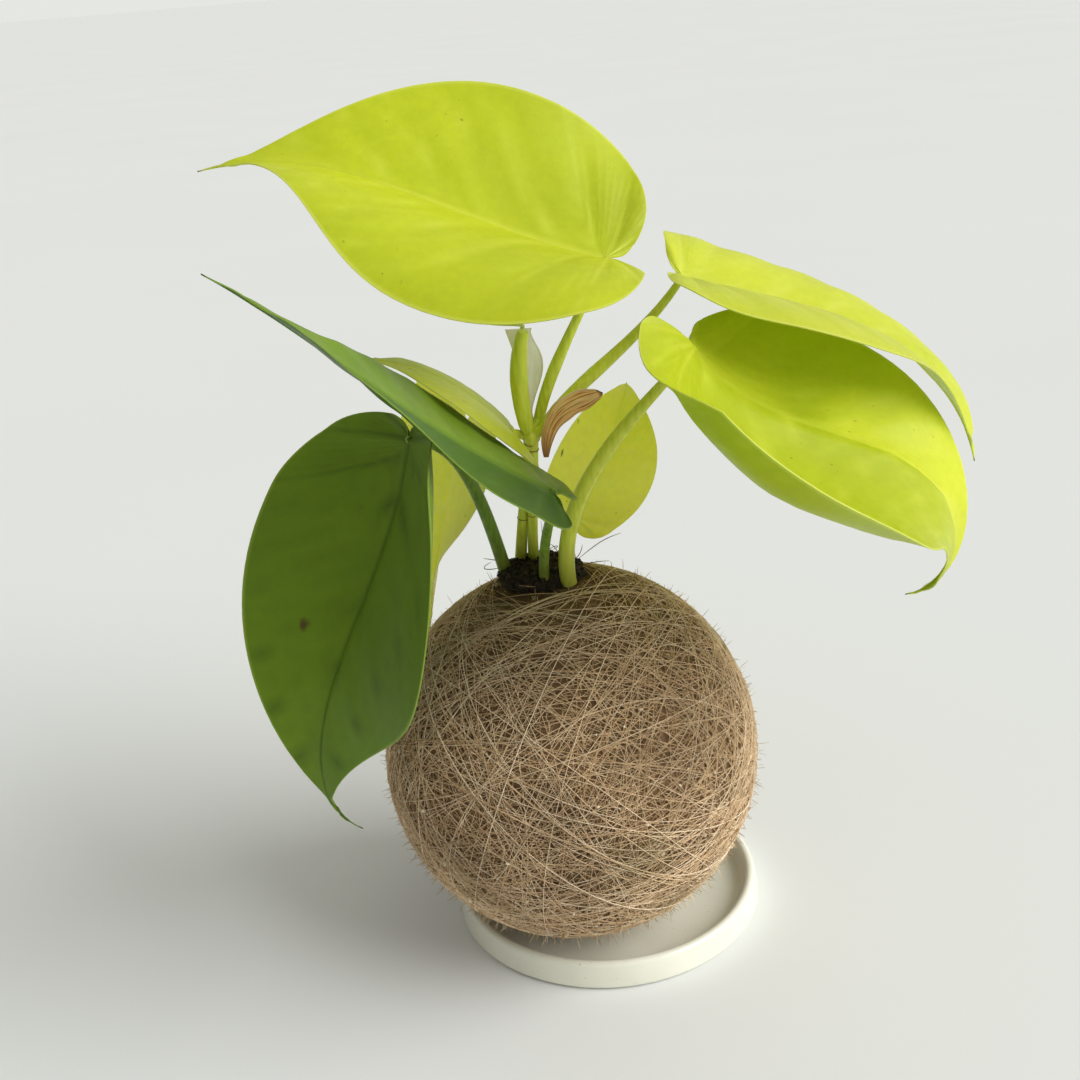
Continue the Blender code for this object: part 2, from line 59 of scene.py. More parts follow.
# %% Read the main sizes
saucer_low, saucer_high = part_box("saucer")
ball_low, ball_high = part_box("root_ball")
soil_low, soil_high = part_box("potting_soil")
saucer_radius = saucer_high.x / MM
saucer_height = saucer_high.z / MM
ball_radius = (ball_high.x - ball_low.x) / 2 / MM
ball_centre = np.array([(ball_low.x + ball_high.x) / 2, (ball_low.y + ball_high.y) / 2,
                        ball_high.z - ball_radius * MM]) / MM
ball_foot = ball_low.z / MM
soil_middle = np.array([(soil_low[i] + soil_high[i]) / 2 for i in range(3)]) / MM
print("ball radius", round(ball_radius, 1), "centre", ball_centre.round(1), "saucer", round(saucer_radius, 1))

# %% [markdown]
# The camera looks a little down on the plant, from the side that most leaves face. It is made first, because
# the stage and the lamps are judged through it. It leans a few degrees, as a hand-held one does.

# %% Camera
VIEW_DOWN = math.radians(22.2)
VIEW_LEAN = math.radians(4.8)
VIEW_DISTANCE = 405 * MM
LENS = 46.67
aim = np.array([-12.6, 0.0, 123.6]) * MM
ahead = np.array([0.0, math.cos(VIEW_DOWN), -math.sin(VIEW_DOWN)])
level_up = np.array([0.0, math.sin(VIEW_DOWN), math.cos(VIEW_DOWN)])
level_right = np.array([1.0, 0.0, 0.0])
camera_up = level_up * math.cos(VIEW_LEAN) + level_right * math.sin(VIEW_LEAN)
camera_right = level_right * math.cos(VIEW_LEAN) - level_up * math.sin(VIEW_LEAN)
bpy.ops.object.camera_add()
camera = bpy.context.object
camera.data.lens = LENS
camera.data.sensor_width = 36
camera.data.clip_start = 0.01
place = aim - ahead * VIEW_DISTANCE
rows = [list(row) for row in np.column_stack([camera_right, camera_up, -ahead])]
camera.matrix_world = Matrix([rows[i] + [place[i]] for i in range(3)] + [[0, 0, 0, 1]])
bpy.context.scene.camera = camera
print("camera at", place.round(3))

# %% [markdown]
# Every finish below is made of nodes, so small helpers keep the recipes short. Colours are written as the
# 0 to 255 values a painter would read off a swatch, and turned into the linear values Blender works in.

# %% Node helpers
def colour(red, green, blue):
    """A swatch colour as linear values."""
    made = []
    for part in (red, green, blue):
        share = part / 255
        made.append(share / 12.92 if share <= 0.04045 else ((share + 0.055) / 1.055) ** 2.4)
    return (*made, 1.0)


def new_material(name, roughness):
    """A material with its node tree and its Principled shader."""
    material = bpy.data.materials.new(name)
    material.use_nodes = True
    shader = material.node_tree.nodes["Principled BSDF"]
    shader.inputs["Roughness"].default_value = roughness
    return material, material.node_tree, shader


def joined(tree, source, target):
    """Feed a socket from another socket, or set it to a plain value."""
    if isinstance(source, bpy.types.NodeSocket):
        tree.links.new(source, target)
    else:
        target.default_value = source


def attribute(tree, name):
    """A value kept on the mesh's points."""
    node = tree.nodes.new("ShaderNodeAttribute")
    node.attribute_name = name
    return node.outputs["Fac"]


def stretched_place(tree, stretch):
    """Object coordinates, stretched so that a pattern is long one way."""
    place = tree.nodes.new("ShaderNodeTexCoord").outputs["Object"]
    mapping = tree.nodes.new("ShaderNodeMapping")
    mapping.inputs["Scale"].default_value = stretch
    tree.links.new(place, mapping.inputs["Vector"])
    return mapping.outputs["Vector"]


def noise(tree, scale, detail=4.0, stretch=(1.0, 1.0, 1.0)):
    """Cloudy values about 0.5."""
    node = tree.nodes.new("ShaderNodeTexNoise")
    node.inputs["Scale"].default_value = scale
    node.inputs["Detail"].default_value = detail
    tree.links.new(stretched_place(tree, stretch), node.inputs["Vector"])
    return node.outputs["Fac"]


def ramp(tree, factor, *stops):
    """Colours along a value; each stop is a place and a colour."""
    node = tree.nodes.new("ShaderNodeValToRGB")
    tree.links.new(factor, node.inputs["Fac"])
    points = node.color_ramp.elements
    while len(points) < len(stops):
        points.new(0.5)
    for point, (where, tint) in zip(points, stops):
        point.position = where
        point.color = tint
    return node.outputs["Color"]


def grey(value):
    """A grey of that strength, for masks."""
    return (value, value, value, 1.0)


def mixed(tree, factor, first, second, how="MIX"):
    """Two colours mixed by a factor."""
    node = tree.nodes.new("ShaderNodeMix")
    node.data_type = "RGBA"
    node.blend_type = how
    joined(tree, factor, node.inputs["Factor"])
    joined(tree, first, node.inputs[6])
    joined(tree, second, node.inputs[7])
    return node.outputs[2]


def maths(tree, how, first, second=0.0):
    """One sum on two values."""
    node = tree.nodes.new("ShaderNodeMath")
    node.operation = how
    joined(tree, first, node.inputs[0])
    joined(tree, second, node.inputs[1])
    return node.outputs["Value"]


def bumped(tree, shader, height, depth):
    """Small relief, depth in metres."""
    node = tree.nodes.new("ShaderNodeBump")
    node.inputs["Distance"].default_value = depth
    tree.links.new(height, node.inputs["Height"])
    tree.links.new(node.outputs["Normal"], shader.inputs["Normal"])


print("helpers ready")

# %% [markdown]
# The object stands on a plain pale floor that runs back without an edge. A broad lamp from the right gives
# the soft shadow on the left, and the pale world fills the rest, at a level where colours look as written.

# %% Floor, world and lamps
FLOOR_SPAN = 80
bpy.ops.object.select_all(action="DESELECT")
bpy.ops.mesh.primitive_plane_add(size=FLOOR_SPAN, location=(0, 0, -0.0002))
floor = bpy.context.object
floor.name = "floor"
bpy.ops.object.transform_apply(location=True, rotation=True, scale=True)
floor_paint, tree, shader = new_material("pale_floor", 0.9)
shader.inputs["Specular IOR Level"].default_value = 0.1
patches = ramp(tree, noise(tree, 3.0, 2.0), (0.3, colour(233, 235, 235)), (0.7, colour(235, 237, 237)))
tree.links.new(patches, shader.inputs["Base Color"])
floor.data.materials.append(floor_paint)

world = bpy.data.worlds.new("pale_room")
world.use_nodes = True
backdrop = world.node_tree.nodes["Background"]
backdrop.inputs["Color"].default_value = colour(244, 243, 234)
way = world.node_tree.nodes.new("ShaderNodeTexCoord").outputs["Generated"]
split = world.node_tree.nodes.new("ShaderNodeSeparateXYZ")
world.node_tree.links.new(way, split.inputs["Vector"])
toward_window = maths(world.node_tree, "MULTIPLY", split.outputs["X"], 0.30)
world.node_tree.links.new(maths(world.node_tree, "ADD", toward_window, 0.54), backdrop.inputs["Strength"])
seen = world.node_tree.nodes.new("ShaderNodeBackground")
seen.inputs["Color"].default_value = colour(229, 231, 227)
ray = world.node_tree.nodes.new("ShaderNodeLightPath").outputs["Is Camera Ray"]
chosen = world.node_tree.nodes.new("ShaderNodeMixShader")
world.node_tree.links.new(ray, chosen.inputs["Fac"])
world.node_tree.links.new(backdrop.outputs["Background"], chosen.inputs[1])
world.node_tree.links.new(seen.outputs["Background"], chosen.inputs[2])
world.node_tree.links.new(chosen.outputs["Shader"], world.node_tree.nodes["World Output"].inputs["Surface"])
bpy.context.scene.world = world

LAMP_FROM = Vector((0.80, -0.27, 0.55))
bpy.ops.object.light_add(type="SUN", location=LAMP_FROM, rotation=LAMP_FROM.to_track_quat("Z", "Y").to_euler())
lamp = bpy.context.object
lamp.name = "window_lamp"
lamp.data.energy = 2.55
lamp.data.angle = math.radians(48)
bpy.context.scene.view_settings.view_transform = "Standard"
print("stage set")

# %% [markdown]
# Every finished piece sits at the origin with its place in its mesh, and rides on the one body of the frame.
# `settle` does this, smooths the shading, gives the piece its finish and hides the imported nodes it stands for.

# %% Settling a piece
def only(piece):
    """Select one piece and make it the active one."""
    bpy.ops.object.select_all(action="DESELECT")
    piece.select_set(True)
    bpy.context.view_layer.objects.active = piece


def settle(piece, name, material, nodes=(), sharp=50):
    """Give a finished piece its name, finish and body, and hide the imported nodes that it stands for."""
    piece.name = name
    piece.data.name = name
    piece.data.materials.clear()
    piece.data.materials.append(material)
    only(piece)
    bpy.ops.object.transform_apply(location=True, rotation=True, scale=True)
    bpy.ops.object.shade_smooth_by_angle(angle=math.radians(sharp))
    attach(piece, BODY)
    if nodes:
        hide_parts(*nodes)
    print(name, "faces:", len(piece.data.polygons))
    return piece


def from_points(name, points, faces):
    """A mesh object from points in millimetres."""
    mesh = bpy.data.meshes.new(name)
    mesh.from_pydata((np.asarray(points) * MM).tolist(), [], faces)
    piece = bpy.data.objects.new(name, mesh)
    bpy.context.scene.collection.objects.link(piece)
    return piece


# %% [markdown]
# ## The saucer
# A potter turns a saucer on a wheel, so it is made the same way: its section is drawn once and spun round the
# middle. The rim is a full half circle and the foot has a soft edge, because glaze never leaves a sharp one.

# %% Spin the saucer
FLOOR_TOP = 2.4
WALL = 4.2
SPIN_STEPS = 144


def arc(centre, radius, start, end, steps):
    """Points on an arc, with angles in degrees from the outward direction."""
    turns = np.radians(np.linspace(start, end, steps))
    return [(centre[0] + radius * math.cos(t), centre[1] + radius * math.sin(t)) for t in turns]


rim_radius = (WALL - 1.1) / 2
section = [(0.0, 0.0), (saucer_radius - 8.0, 0.0)]
section += arc((saucer_radius - 1.6, 1.6), 1.6, -90, 0, 7)
section += arc((saucer_radius - 0.8 - rim_radius, saucer_height - rim_radius), rim_radius, 0, 180, 13)
section += arc((saucer_radius - WALL - 3.6, FLOOR_TOP + 3.4), 3.4, 0, -90, 10)
section += [(saucer_radius * 0.5, FLOOR_TOP - 0.05), (0.0, FLOOR_TOP - 0.1)]
mesh = bpy.data.meshes.new("saucer_glazed")
mesh.from_pydata([(x * MM, 0.0, z * MM) for x, z in section], [(i, i + 1) for i in range(len(section) - 1)], [])
saucer = bpy.data.objects.new("saucer_glazed", mesh)
bpy.context.scene.collection.objects.link(saucer)
only(saucer)
bpy.ops.object.mode_set(mode="EDIT")
bpy.ops.mesh.select_all(action="SELECT")
bpy.ops.mesh.spin(steps=SPIN_STEPS, angle=math.tau, center=(0, 0, 0), axis=(0, 0, 1))
bpy.ops.mesh.select_all(action="SELECT")
bpy.ops.mesh.remove_doubles(threshold=0.00001)
bpy.ops.mesh.normals_make_consistent(inside=False)
bpy.ops.object.mode_set(mode="OBJECT")

# %% [markdown]
# The glaze is off-white with a breath of grey-green, varies a little in tone and carries faint specks. The
# gloss comes from a coat over a softer body, with the light doing the rest.

# %% Glaze
glaze, tree, shader = new_material("off_white_glaze", 0.32)
tone = ramp(tree, noise(tree, 60.0, 3.0), (0.35, colour(234, 234, 217)), (0.65, colour(241, 241, 226)))
specks = ramp(tree, noise(tree, 900.0, 2.0), (0.70, grey(0.0)), (0.78, grey(1.0)))
tree.links.new(mixed(tree, specks, tone, colour(196, 190, 172)), shader.inputs["Base Color"])
shader.inputs["Coat Weight"].default_value = 0.35
shader.inputs["Coat Roughness"].default_value = 0.12
bumped(tree, shader, noise(tree, 120.0, 2.0), 0.00012)
settle(saucer, "saucer_glazed", glaze, ["saucer"], sharp=60)

# %% [markdown]
# ## The ball
# Under the thread the ball is pressed coconut fibre. A round start gets thousands of small faces, is pushed
# in and out by layered noise, and is pressed flat where it sits. The fibres and thread lie on this core.

# %% The core of the ball


BALL_ROUGHNESS = 0.7
SEED = 41
rng = np.random.default_rng(SEED)
bpy.ops.object.select_all(action="DESELECT")
bpy.ops.mesh.primitive_ico_sphere_add(subdivisions=6, radius=ball_radius * MM, location=ball_centre * MM)
core = bpy.context.object
bpy.ops.object.transform_apply(location=True, rotation=True, scale=True)
for vertex in core.data.vertices:
    out = (vertex.co - Vector(ball_centre * MM)).normalized()
    lumps = field.noise(vertex.co * 60) + 0.6 * field.noise(vertex.co * 260) + 0.4 * field.noise(vertex.co * 900)
    vertex.co += out * (lumps * BALL_ROUGHNESS - 0.15) * MM
    vertex.co.z = max(vertex.co.z, ball_foot * MM)
print("core faces:", len(core.data.polygons))

# %% [markdown]
# Thousands of thin pieces share one recipe: a path, a radius and three sides. `strands` builds them all in
# one mesh, and keeps a tone for each strand on its points, so that neighbours differ in colour.

# %% Many strands in one mesh
STRAND_SIDES = 3


def strands(name, paths, radii, tones, closed=False):
    """One mesh of many thin strands. Each path is an array of points in millimetres."""
    corners = np.arange(STRAND_SIDES) * math.tau / STRAND_SIDES
    points = []
    faces = []
    shades = []
    first = 0
    for path, radius, tone in zip(paths, radii, tones):
        steps = len(path)
        if closed:
            along = np.roll(path, -1, axis=0) - np.roll(path, 1, axis=0)
        else:
            along = np.gradient(path, axis=0)
        along /= np.linalg.norm(along, axis=1)[:, None]
        out = path - ball_centre
        across = np.cross(along, out)
        across /= np.linalg.norm(across, axis=1)[:, None] + 1e-9
        over = np.cross(across, along)
        taper = np.ones(steps) if closed else np.sin(np.linspace(0.12, math.pi - 0.12, steps)) ** 0.4
        for turn in corners:
            side = (across * math.sin(turn) + over * math.cos(turn)) * radius * taper[:, None]
            points.append(path + side)
        count = steps if closed else steps - 1
        for i in range(count):
            after = (i + 1) % steps
            for j in range(STRAND_SIDES):
                beside = (j + 1) % STRAND_SIDES
                faces.append((first + j * steps + i, first + j * steps + after,
                              first + beside * steps + after, first + beside * steps + i))
        if not closed:
            faces.append(tuple(first + j * steps for j in range(STRAND_SIDES)))
            faces.append(tuple(first + j * steps + steps - 1 for j in reversed(range(STRAND_SIDES))))
        shades.append(np.full(steps * STRAND_SIDES, tone))
        first += steps * STRAND_SIDES
    piece = from_points(name, np.vstack(points), faces)
    only(piece)
    bpy.ops.object.mode_set(mode="EDIT")
    bpy.ops.mesh.select_all(action="SELECT")
    bpy.ops.mesh.normals_make_consistent(inside=False)
    bpy.ops.object.mode_set(mode="OBJECT")
    kept = piece.data.attributes.new("tone", "FLOAT", "POINT")
    kept.data.foreach_set("value", np.concatenate(shades).astype(np.float32))
    return piece


def directions(count):
    """Random directions, spread evenly over a sphere."""
    made = rng.normal(size=(count, 3))
    return made / np.linalg.norm(made, axis=1)[:, None]


def arc_path(middle, heading, length, height, steps, bow=0.0):
    """A short arc lying on the ball through a direction, bowed out or in along its length."""
    heading = heading - middle * np.dot(heading, middle)
    heading /= np.linalg.norm(heading)
    side = np.cross(middle, heading)
    turns = np.linspace(-0.5, 0.5, steps) * length / ball_radius
    sway = bow * (np.linspace(-1, 1, steps) ** 2)
    ways = np.outer(np.cos(turns), middle) + np.outer(np.sin(turns), heading) + np.outer(sway, side)
    ways /= np.linalg.norm(ways, axis=1)[:, None]
    path = ball_centre + ways * (ball_radius + height)
    path[:, 2] = np.maximum(path[:, 2], ball_foot + 0.3)
    return path


crown = soil_middle - ball_centre
crown = crown / np.linalg.norm(crown)
CROWN_CLEAR = 0.972

# %% [markdown]
# Coir fibres are stiff and short and lie every way. Each one is a short arc with a slight bow. Two meshes
# hold them, so that neither grows too heavy: a lower mat of chopped bits, and a looser one of longer fibres.
# Fibres near the crown are coloured darker.

# %% Coir fibres
MAT_FIBRES = 8800
FIBRE_STEPS = 4
DARKER_TOWARD_CROWN_FROM = 0.86


def fibre_mat(name, heights, lengths, radii, tones):
    """A mat of fibres lying on the ball; each pair gives the least and the most of that measure."""
    paths = []
    shades = []
    for middle, heading in zip(directions(MAT_FIBRES), directions(MAT_FIBRES)):
        height = rng.uniform(*heights)
        length = rng.uniform(*lengths)
        bow = rng.normal() * 0.012
        shade = rng.uniform(*tones)
        nearness = np.dot(middle, crown)
        if nearness < CROWN_CLEAR:
            paths.append(arc_path(middle, heading, length, height, FIBRE_STEPS, bow))
            # Fibres closer to the crown get a lower tone, so they are coloured darker.
            toward_crown = max(0.0, nearness - DARKER_TOWARD_CROWN_FROM) / (CROWN_CLEAR - DARKER_TOWARD_CROWN_FROM)
            shades.append(shade * (1 - 0.9 * toward_crown))
    return strands(name, paths, rng.uniform(*radii, len(paths)), shades)


lower_mat = fibre_mat("coir_mat", (-0.25, 0.5), (1.6, 6.0), (0.12, 0.27), (0.0, 0.8))
upper_mat = fibre_mat("coir_loose_fibres", (0.1, 0.75), (2.5, 10.0), (0.07, 0.15), (0.1, 1.0))

# %% [markdown]
# The thread is wound on by turning the ball at random, so every turn is a ring: a great circle or a little to
# one side of one. Turns that would cross the crown are left out, because the plant grows there.

# %% Thread windings
TURNS = 330
RING_STEPS = 80
RING_DRIFT = 15.0
CROWN_GAP = 12.5
paths = []
while len(paths) < TURNS:
    axis = directions(1)[0]
    drift = rng.normal() * RING_DRIFT
    height = rng.uniform(0.5, 1.0)
    reach = ball_radius + height
    if abs(drift) > reach * 0.75 or abs(np.dot(axis, crown) * reach - drift) < CROWN_GAP:
        continue
    first = np.cross(axis, (0.3, 0.2, 1.0))
    first /= np.linalg.norm(first)
    second = np.cross(axis, first)
    turns = np.linspace(0, math.tau, RING_STEPS, endpoint=False)
    ring = math.sqrt(reach * reach - drift * drift)
    ripple = 1 + 0.0015 * np.sin(turns * rng.integers(5, 11) + rng.uniform(0, 6))
    path = ball_centre + axis * drift + ring * (np.outer(np.cos(turns), first) + np.outer(np.sin(turns), second))
    path = ball_centre + (path - ball_centre) * ripple[:, None]
    path[:, 2] = np.maximum(path[:, 2], ball_foot + 0.3)
    paths.append(path)
thread = strands("thread_windings", paths, rng.uniform(0.065, 0.13, TURNS), rng.uniform(0.2, 1.0, TURNS), closed=True)

# %% [markdown]
# Two more things break up the outline: short hairs that stand off the ball, thickest low down, and pale
# crumbs of husk caught under the thread.

# %% Hairs and crumbs
HAIRS = 8000
CRUMBS = 1500
paths = []
for out, lean in zip(directions(HAIRS), directions(HAIRS)):
    if np.dot(out, crown) > CROWN_CLEAR or rng.uniform() > 0.75 - 0.45 * out[2]:
        continue
    tip = out + lean * 0.9
    start = ball_centre + out * (ball_radius - 0.2)
    stand = rng.uniform(0.9, 2.9)
    bend = start + tip * stand * 0.5 + out * 0.1
    end = start + tip * stand * 0.9 + lean * 0.3
    path = np.array([start, bend, end])
    path[:, 2] = np.maximum(path[:, 2], ball_foot + 0.1)
    paths.append(path)
hairs = strands("coir_hairs", paths, np.full(len(paths), 0.085), rng.uniform(0.2, 1.0, len(paths)))

bpy.ops.object.select_all(action="DESELECT")
bpy.ops.mesh.primitive_ico_sphere_add(subdivisions=1, radius=1.0)
pattern = bpy.context.object
crumb_points = np.array([v.co for v in pattern.data.vertices])
crumb_faces = [list(face.vertices) for face in pattern.data.polygons]
bpy.data.objects.remove(pattern)
points = []
faces = []
tones = []
for out in directions(CRUMBS):
    if np.dot(out, crown) > CROWN_CLEAR or rng.uniform() > 0.62 - 0.38 * out[2]:
        continue
    size = rng.uniform(0.22, 0.5) * (1.9 if rng.uniform() < 0.22 else 1.0)
    turned_by = np.linalg.qr(rng.normal(size=(3, 3)))[0]
    flake = (crumb_points * (1.0, rng.uniform(0.4, 0.8), rng.uniform(0.25, 0.6))) * rng.uniform(0.75, 1.25, (12, 1))
    placed = flake @ turned_by.T * size + ball_centre + out * (ball_radius + rng.uniform(0.5, 1.1))
    placed[:, 2] = np.maximum(placed[:, 2], ball_foot + 0.05)
    faces += [[i + len(points) for i in face] for face in crumb_faces]
    points += list(placed)
    tones += [rng.uniform(0.0, 1.0)] * len(crumb_points)
crumbs = from_points("husk_crumbs", points, faces)
kept = crumbs.data.attributes.new("tone", "FLOAT", "POINT")
kept.data.foreach_set("value", np.array(tones, np.float32))

# %% [markdown]
# One recipe colours all the fibre: a brown to straw scale by each strand's tone, darkened in broad patches,
# with a breath of green in scattered patches where damp fibre has grown a film of algae.

# %% Fibre finishes
def fibre_finish(name, dark, middle, light, roughness=0.88):
    """Brown fibre whose tone comes from each strand, with damp patches and fine streaks."""
    material, tree, shader = new_material(name, roughness)
    scale = ramp(tree, attribute(tree, "tone"), (0.0, dark), (0.5, middle), (1.0, light))
    patches = ramp(tree, noise(tree, 45.0, 3.0), (0.35, grey(0.82)), (0.65, grey(1.0)))
    shaded = mixed(tree, 1.0, scale, patches, "MULTIPLY")
    damp = ramp(tree, noise(tree, 30.0, 2.0), (0.56, grey(0.0)), (0.76, grey(0.30)))
    greener = mixed(tree, damp, shaded, colour(150, 144, 96))
    tree.links.new(greener, shader.inputs["Base Color"])
    shader.inputs["Specular IOR Level"].default_value = 0.25
    bumped(tree, shader, noise(tree, 2500.0, 2.0), 0.00008)
    return material


felt = fibre_finish("coir_felt", colour(120, 94, 66), colour(142, 114, 82), colour(170, 140, 104))
coir = fibre_finish("coir_strands", colour(104, 76, 50), colour(200, 168, 126), colour(250, 228, 190))
twine = fibre_finish("thread_straw", colour(186, 150, 112), colour(226, 196, 156), colour(253, 234, 204), 0.7)
husk = fibre_finish("husk_pale", colour(168, 124, 78), colour(226, 200, 152), colour(252, 244, 220))
settle(core, "ball_core", felt, ["root_ball"], sharp=180)
settle(lower_mat, "coir_mat", coir)
settle(upper_mat, "coir_loose_fibres", coir)
settle(thread, "thread_windings", twine, ["twine_wrap"])
settle(hairs, "coir_hairs", coir)
settle(crumbs, "husk_crumbs", husk)

# %% [markdown]
# ## The potting soil
# Dark crumbly soil shows at the crown, where the stems come up. A low mound is roughened strongly, and loose
# crumbs of bark and peat are scattered over it, each a copy of one small faceted lump.

# %% Soil mound and crumbs
SOIL_REACH = 12.6
SOIL_RISE = 3.6
SOIL_CRUMBS = 420
bpy.ops.object.select_all(action="DESELECT")
bpy.ops.mesh.primitive_ico_sphere_add(subdivisions=5, radius=1.0)
mound = bpy.context.object
for vertex in mound.data.vertices:
    rough = 1 + 0.10 * field.noise(vertex.co * 4) + 0.07 * field.noise(vertex.co * 12)
    spread = Vector((vertex.co.x * SOIL_REACH, vertex.co.y * SOIL_REACH, vertex.co.z * SOIL_RISE)) * rough
    vertex.co = (spread + Vector((soil_middle[0], soil_middle[1], soil_high.z / MM - SOIL_RISE))) * MM
points = []
faces = []
tones = []
for _ in range(SOIL_CRUMBS):
    turn = rng.uniform(0, math.tau)
    reach = SOIL_REACH * math.sqrt(rng.uniform()) * 0.98
    rise = SOIL_RISE * math.sqrt(max(0.0, 1 - (reach / SOIL_REACH) ** 2))
    size = rng.uniform(0.3, 1.15)
    turned_by = np.linalg.qr(rng.normal(size=(3, 3)))[0]
    lump = crumb_points * (1.0, rng.uniform(0.5, 0.9), rng.uniform(0.4, 0.8)) * rng.uniform(0.7, 1.3, (12, 1))
    where = (soil_middle[0] + reach * math.cos(turn), soil_middle[1] + reach * math.sin(turn),
             soil_high.z / MM - SOIL_RISE + rise + rng.uniform(-0.3, 0.5))
    faces += [[i + len(points) for i in face] for face in crumb_faces]
    points += list(lump @ turned_by.T * size + where)
    tones += [rng.uniform(0.0, 1.0)] * len(crumb_points)
loose_soil = from_points("soil_crumbs", points, faces)
kept = loose_soil.data.attributes.new("tone", "FLOAT", "POINT")
kept.data.foreach_set("value", np.array(tones, np.float32))

# %% Soil finish
soil, tree, shader = new_material("potting_soil_dark", 0.95)
dark = ramp(tree, noise(tree, 700.0, 5.0), (0.35, colour(26, 20, 16)), (0.60, colour(58, 44, 34)),
            (0.80, colour(92, 70, 50)))
bits = ramp(tree, attribute(tree, "tone"), (0.0, grey(0.6)), (0.9, grey(1.1)), (1.0, grey(1.7)))
tree.links.new(mixed(tree, 1.0, dark, bits, "MULTIPLY"), shader.inputs["Base Color"])
bumped(tree, shader, noise(tree, 1400.0, 5.0), 0.0006)
kept = mound.data.attributes.new("tone", "FLOAT", "POINT")
kept.data.foreach_set("value", np.full(len(mound.data.vertices), 0.6, np.float32))
settle(mound, "soil_mound", soil, ["potting_soil"], sharp=180)
settle(loose_soil, "soil_crumbs", soil, sharp=20)

# %% [markdown]
# ## The leaves
# A heart-shaped leaf is described the way a botanist would: where its stalk joins, how the midrib leaves and
# bends, how wide each half is and where, and how far each half folds up. These are the sizes that the packed
# blades were built from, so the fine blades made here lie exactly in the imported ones.

# %% Sizes of the eight leaves
LEAVES = {
    "upper_leaf": dict(
        joint=(10.6, -9.3, 205.0), length=113.7,
        heading=168.6, pitch=15.8, roll=-9.7,
        half_width=(0.410, 0.377), lobe=(0.104, 0.063), lobe_out=0.150,
        widest=0.263, neck=(0.865, 0.046), lobe_lift=-0.39,
        droop=(-0.51, 0.69, 1.94), sway=(-0.39, 1.21), twist=(-0.42, 1.07),
        fold_left=(0.47, 0.27), fold_right=(0.42, 0.69), cup=(-2.65, 0.51)),
    "right_upper_leaf": dict(
        joint=(32.5, 7.1, 195.1), length=104.8,
        heading=2.8, pitch=-18.9, roll=1.9,
        half_width=(0.418, 0.347), lobe=(0.047, 0.067), lobe_out=0.166,
        widest=0.259, neck=(0.914, 0.042), lobe_lift=-0.04,
        droop=(-0.24, 1.66, 1.67), sway=(0.13, -1.62), twist=(-0.12, 0.24),
        fold_left=(0.76, 0.47), fold_right=(0.27, 0.24), cup=(-3.52, -1.54)),
    "right_lower_leaf": dict(
        joint=(31.1, -23.3, 182.9), length=117.2,
        heading=-0.1, pitch=-56.6, roll=-11.7,
        half_width=(0.304, 0.585), lobe=(0.011, 0.153), lobe_out=0.091,
        widest=0.219, neck=(0.905, 0.057), lobe_lift=2.51,
        droop=(-2.42, 1.88, 11.30), sway=(-0.06, -0.51), twist=(0.91, -2.08),
        fold_left=(0.44, 0.65), fold_right=(-0.92, -0.66), cup=(1.54, 2.72)),
    "left_hanging_leaf": dict(
        joint=(-44.8, -25.8, 165.5), length=120.8,
        heading=-121.4, pitch=-68.5, roll=41.5,
        half_width=(0.394, 0.345), lobe=(0.041, 0.053), lobe_out=0.100,
        widest=0.204, neck=(0.842, 0.023), lobe_lift=0.56,
        droop=(-1.03, 0.50, 5.94), sway=(-0.55, 0.93), twist=(-0.05, -1.18),
        fold_left=(-0.12, -0.78), fold_right=(0.52, 0.87), cup=(1.51, 1.15)),
    "inner_hanging_leaf": dict(
        joint=(-31.7, 21.8, 153.7), length=71.0,
        heading=144.8, pitch=-69.3, roll=-78.3,
        half_width=(0.349, 0.343), lobe=(0.123, 0.140), lobe_out=0.181,
        widest=0.290, neck=(0.842, 0.043), lobe_lift=0.30,
        droop=(-0.32, 0.07, -0.04), sway=(0.28, 0.53), twist=(0.08, 0.36),
        fold_left=(0.34, 1.01), fold_right=(0.21, 0.26), cup=(0.05, -0.29)),
    "front_folded_leaf": dict(
        joint=(-8.0, -40.2, 152.9), length=102.4,
        heading=-165.2, pitch=33.5, roll=-20.7,
        half_width=(0.205, 0.265), lobe=(0.026, 0.104), lobe_out=0.130,
        widest=0.273, neck=(0.800, 0.050), lobe_lift=0.76,
        droop=(-0.40, -0.42, 1.82), sway=(0.00, -0.27), twist=(-0.04, 1.15),
        fold_left=(0.07, 0.39), fold_right=(-0.33, 0.35), cup=(0.57, -0.06)),
    "young_left_leaf": dict(
        joint=(-18.2, -7.6, 159.8), length=50.1,
        heading=-140.9, pitch=49.9, roll=-28.9,
        half_width=(0.342, 0.344), lobe=(0.140, 0.094), lobe_out=0.211,
        widest=0.314, neck=(0.893, 0.052), lobe_lift=0.26,
        droop=(0.34, 0.64, 0.29), sway=(-0.11, 0.10), twist=(0.10, 0.05),
        fold_left=(0.11, 0.00), fold_right=(0.09, -0.16), cup=(-0.54, -1.41)),
    "back_upright_leaf": dict(
        joint=(-1.4, 15.0, 123.8), length=48.4,
        heading=-6.1, pitch=60.2, roll=101.7,
        half_width=(0.324, 0.344), lobe=(0.099, 0.111), lobe_out=0.132,
        widest=0.308, neck=(0.914, 0.052), lobe_lift=0.27,
        droop=(0.47, 1.39, 0.87), sway=(0.03, 0.04), twist=(-0.24, -0.14),
        fold_left=(0.23, 0.60), fold_right=(-0.14, 0.63), cup=(-0.07, -0.35)),
}
print("leaves:", len(LEAVES))

# %% [markdown]
# The outline of one half is four smooth curves: round the lobe, out to the widest place, in to the neck and
# along the drawn-out tip. The midrib is walked in small steps, each one turned a little from the last.

# %% Outline and midrib
OUTLINE_STEPS = 24
HALF_ROWS = 18
MIDRIB_STEPS = 40
LOBE_REACH = 0.35


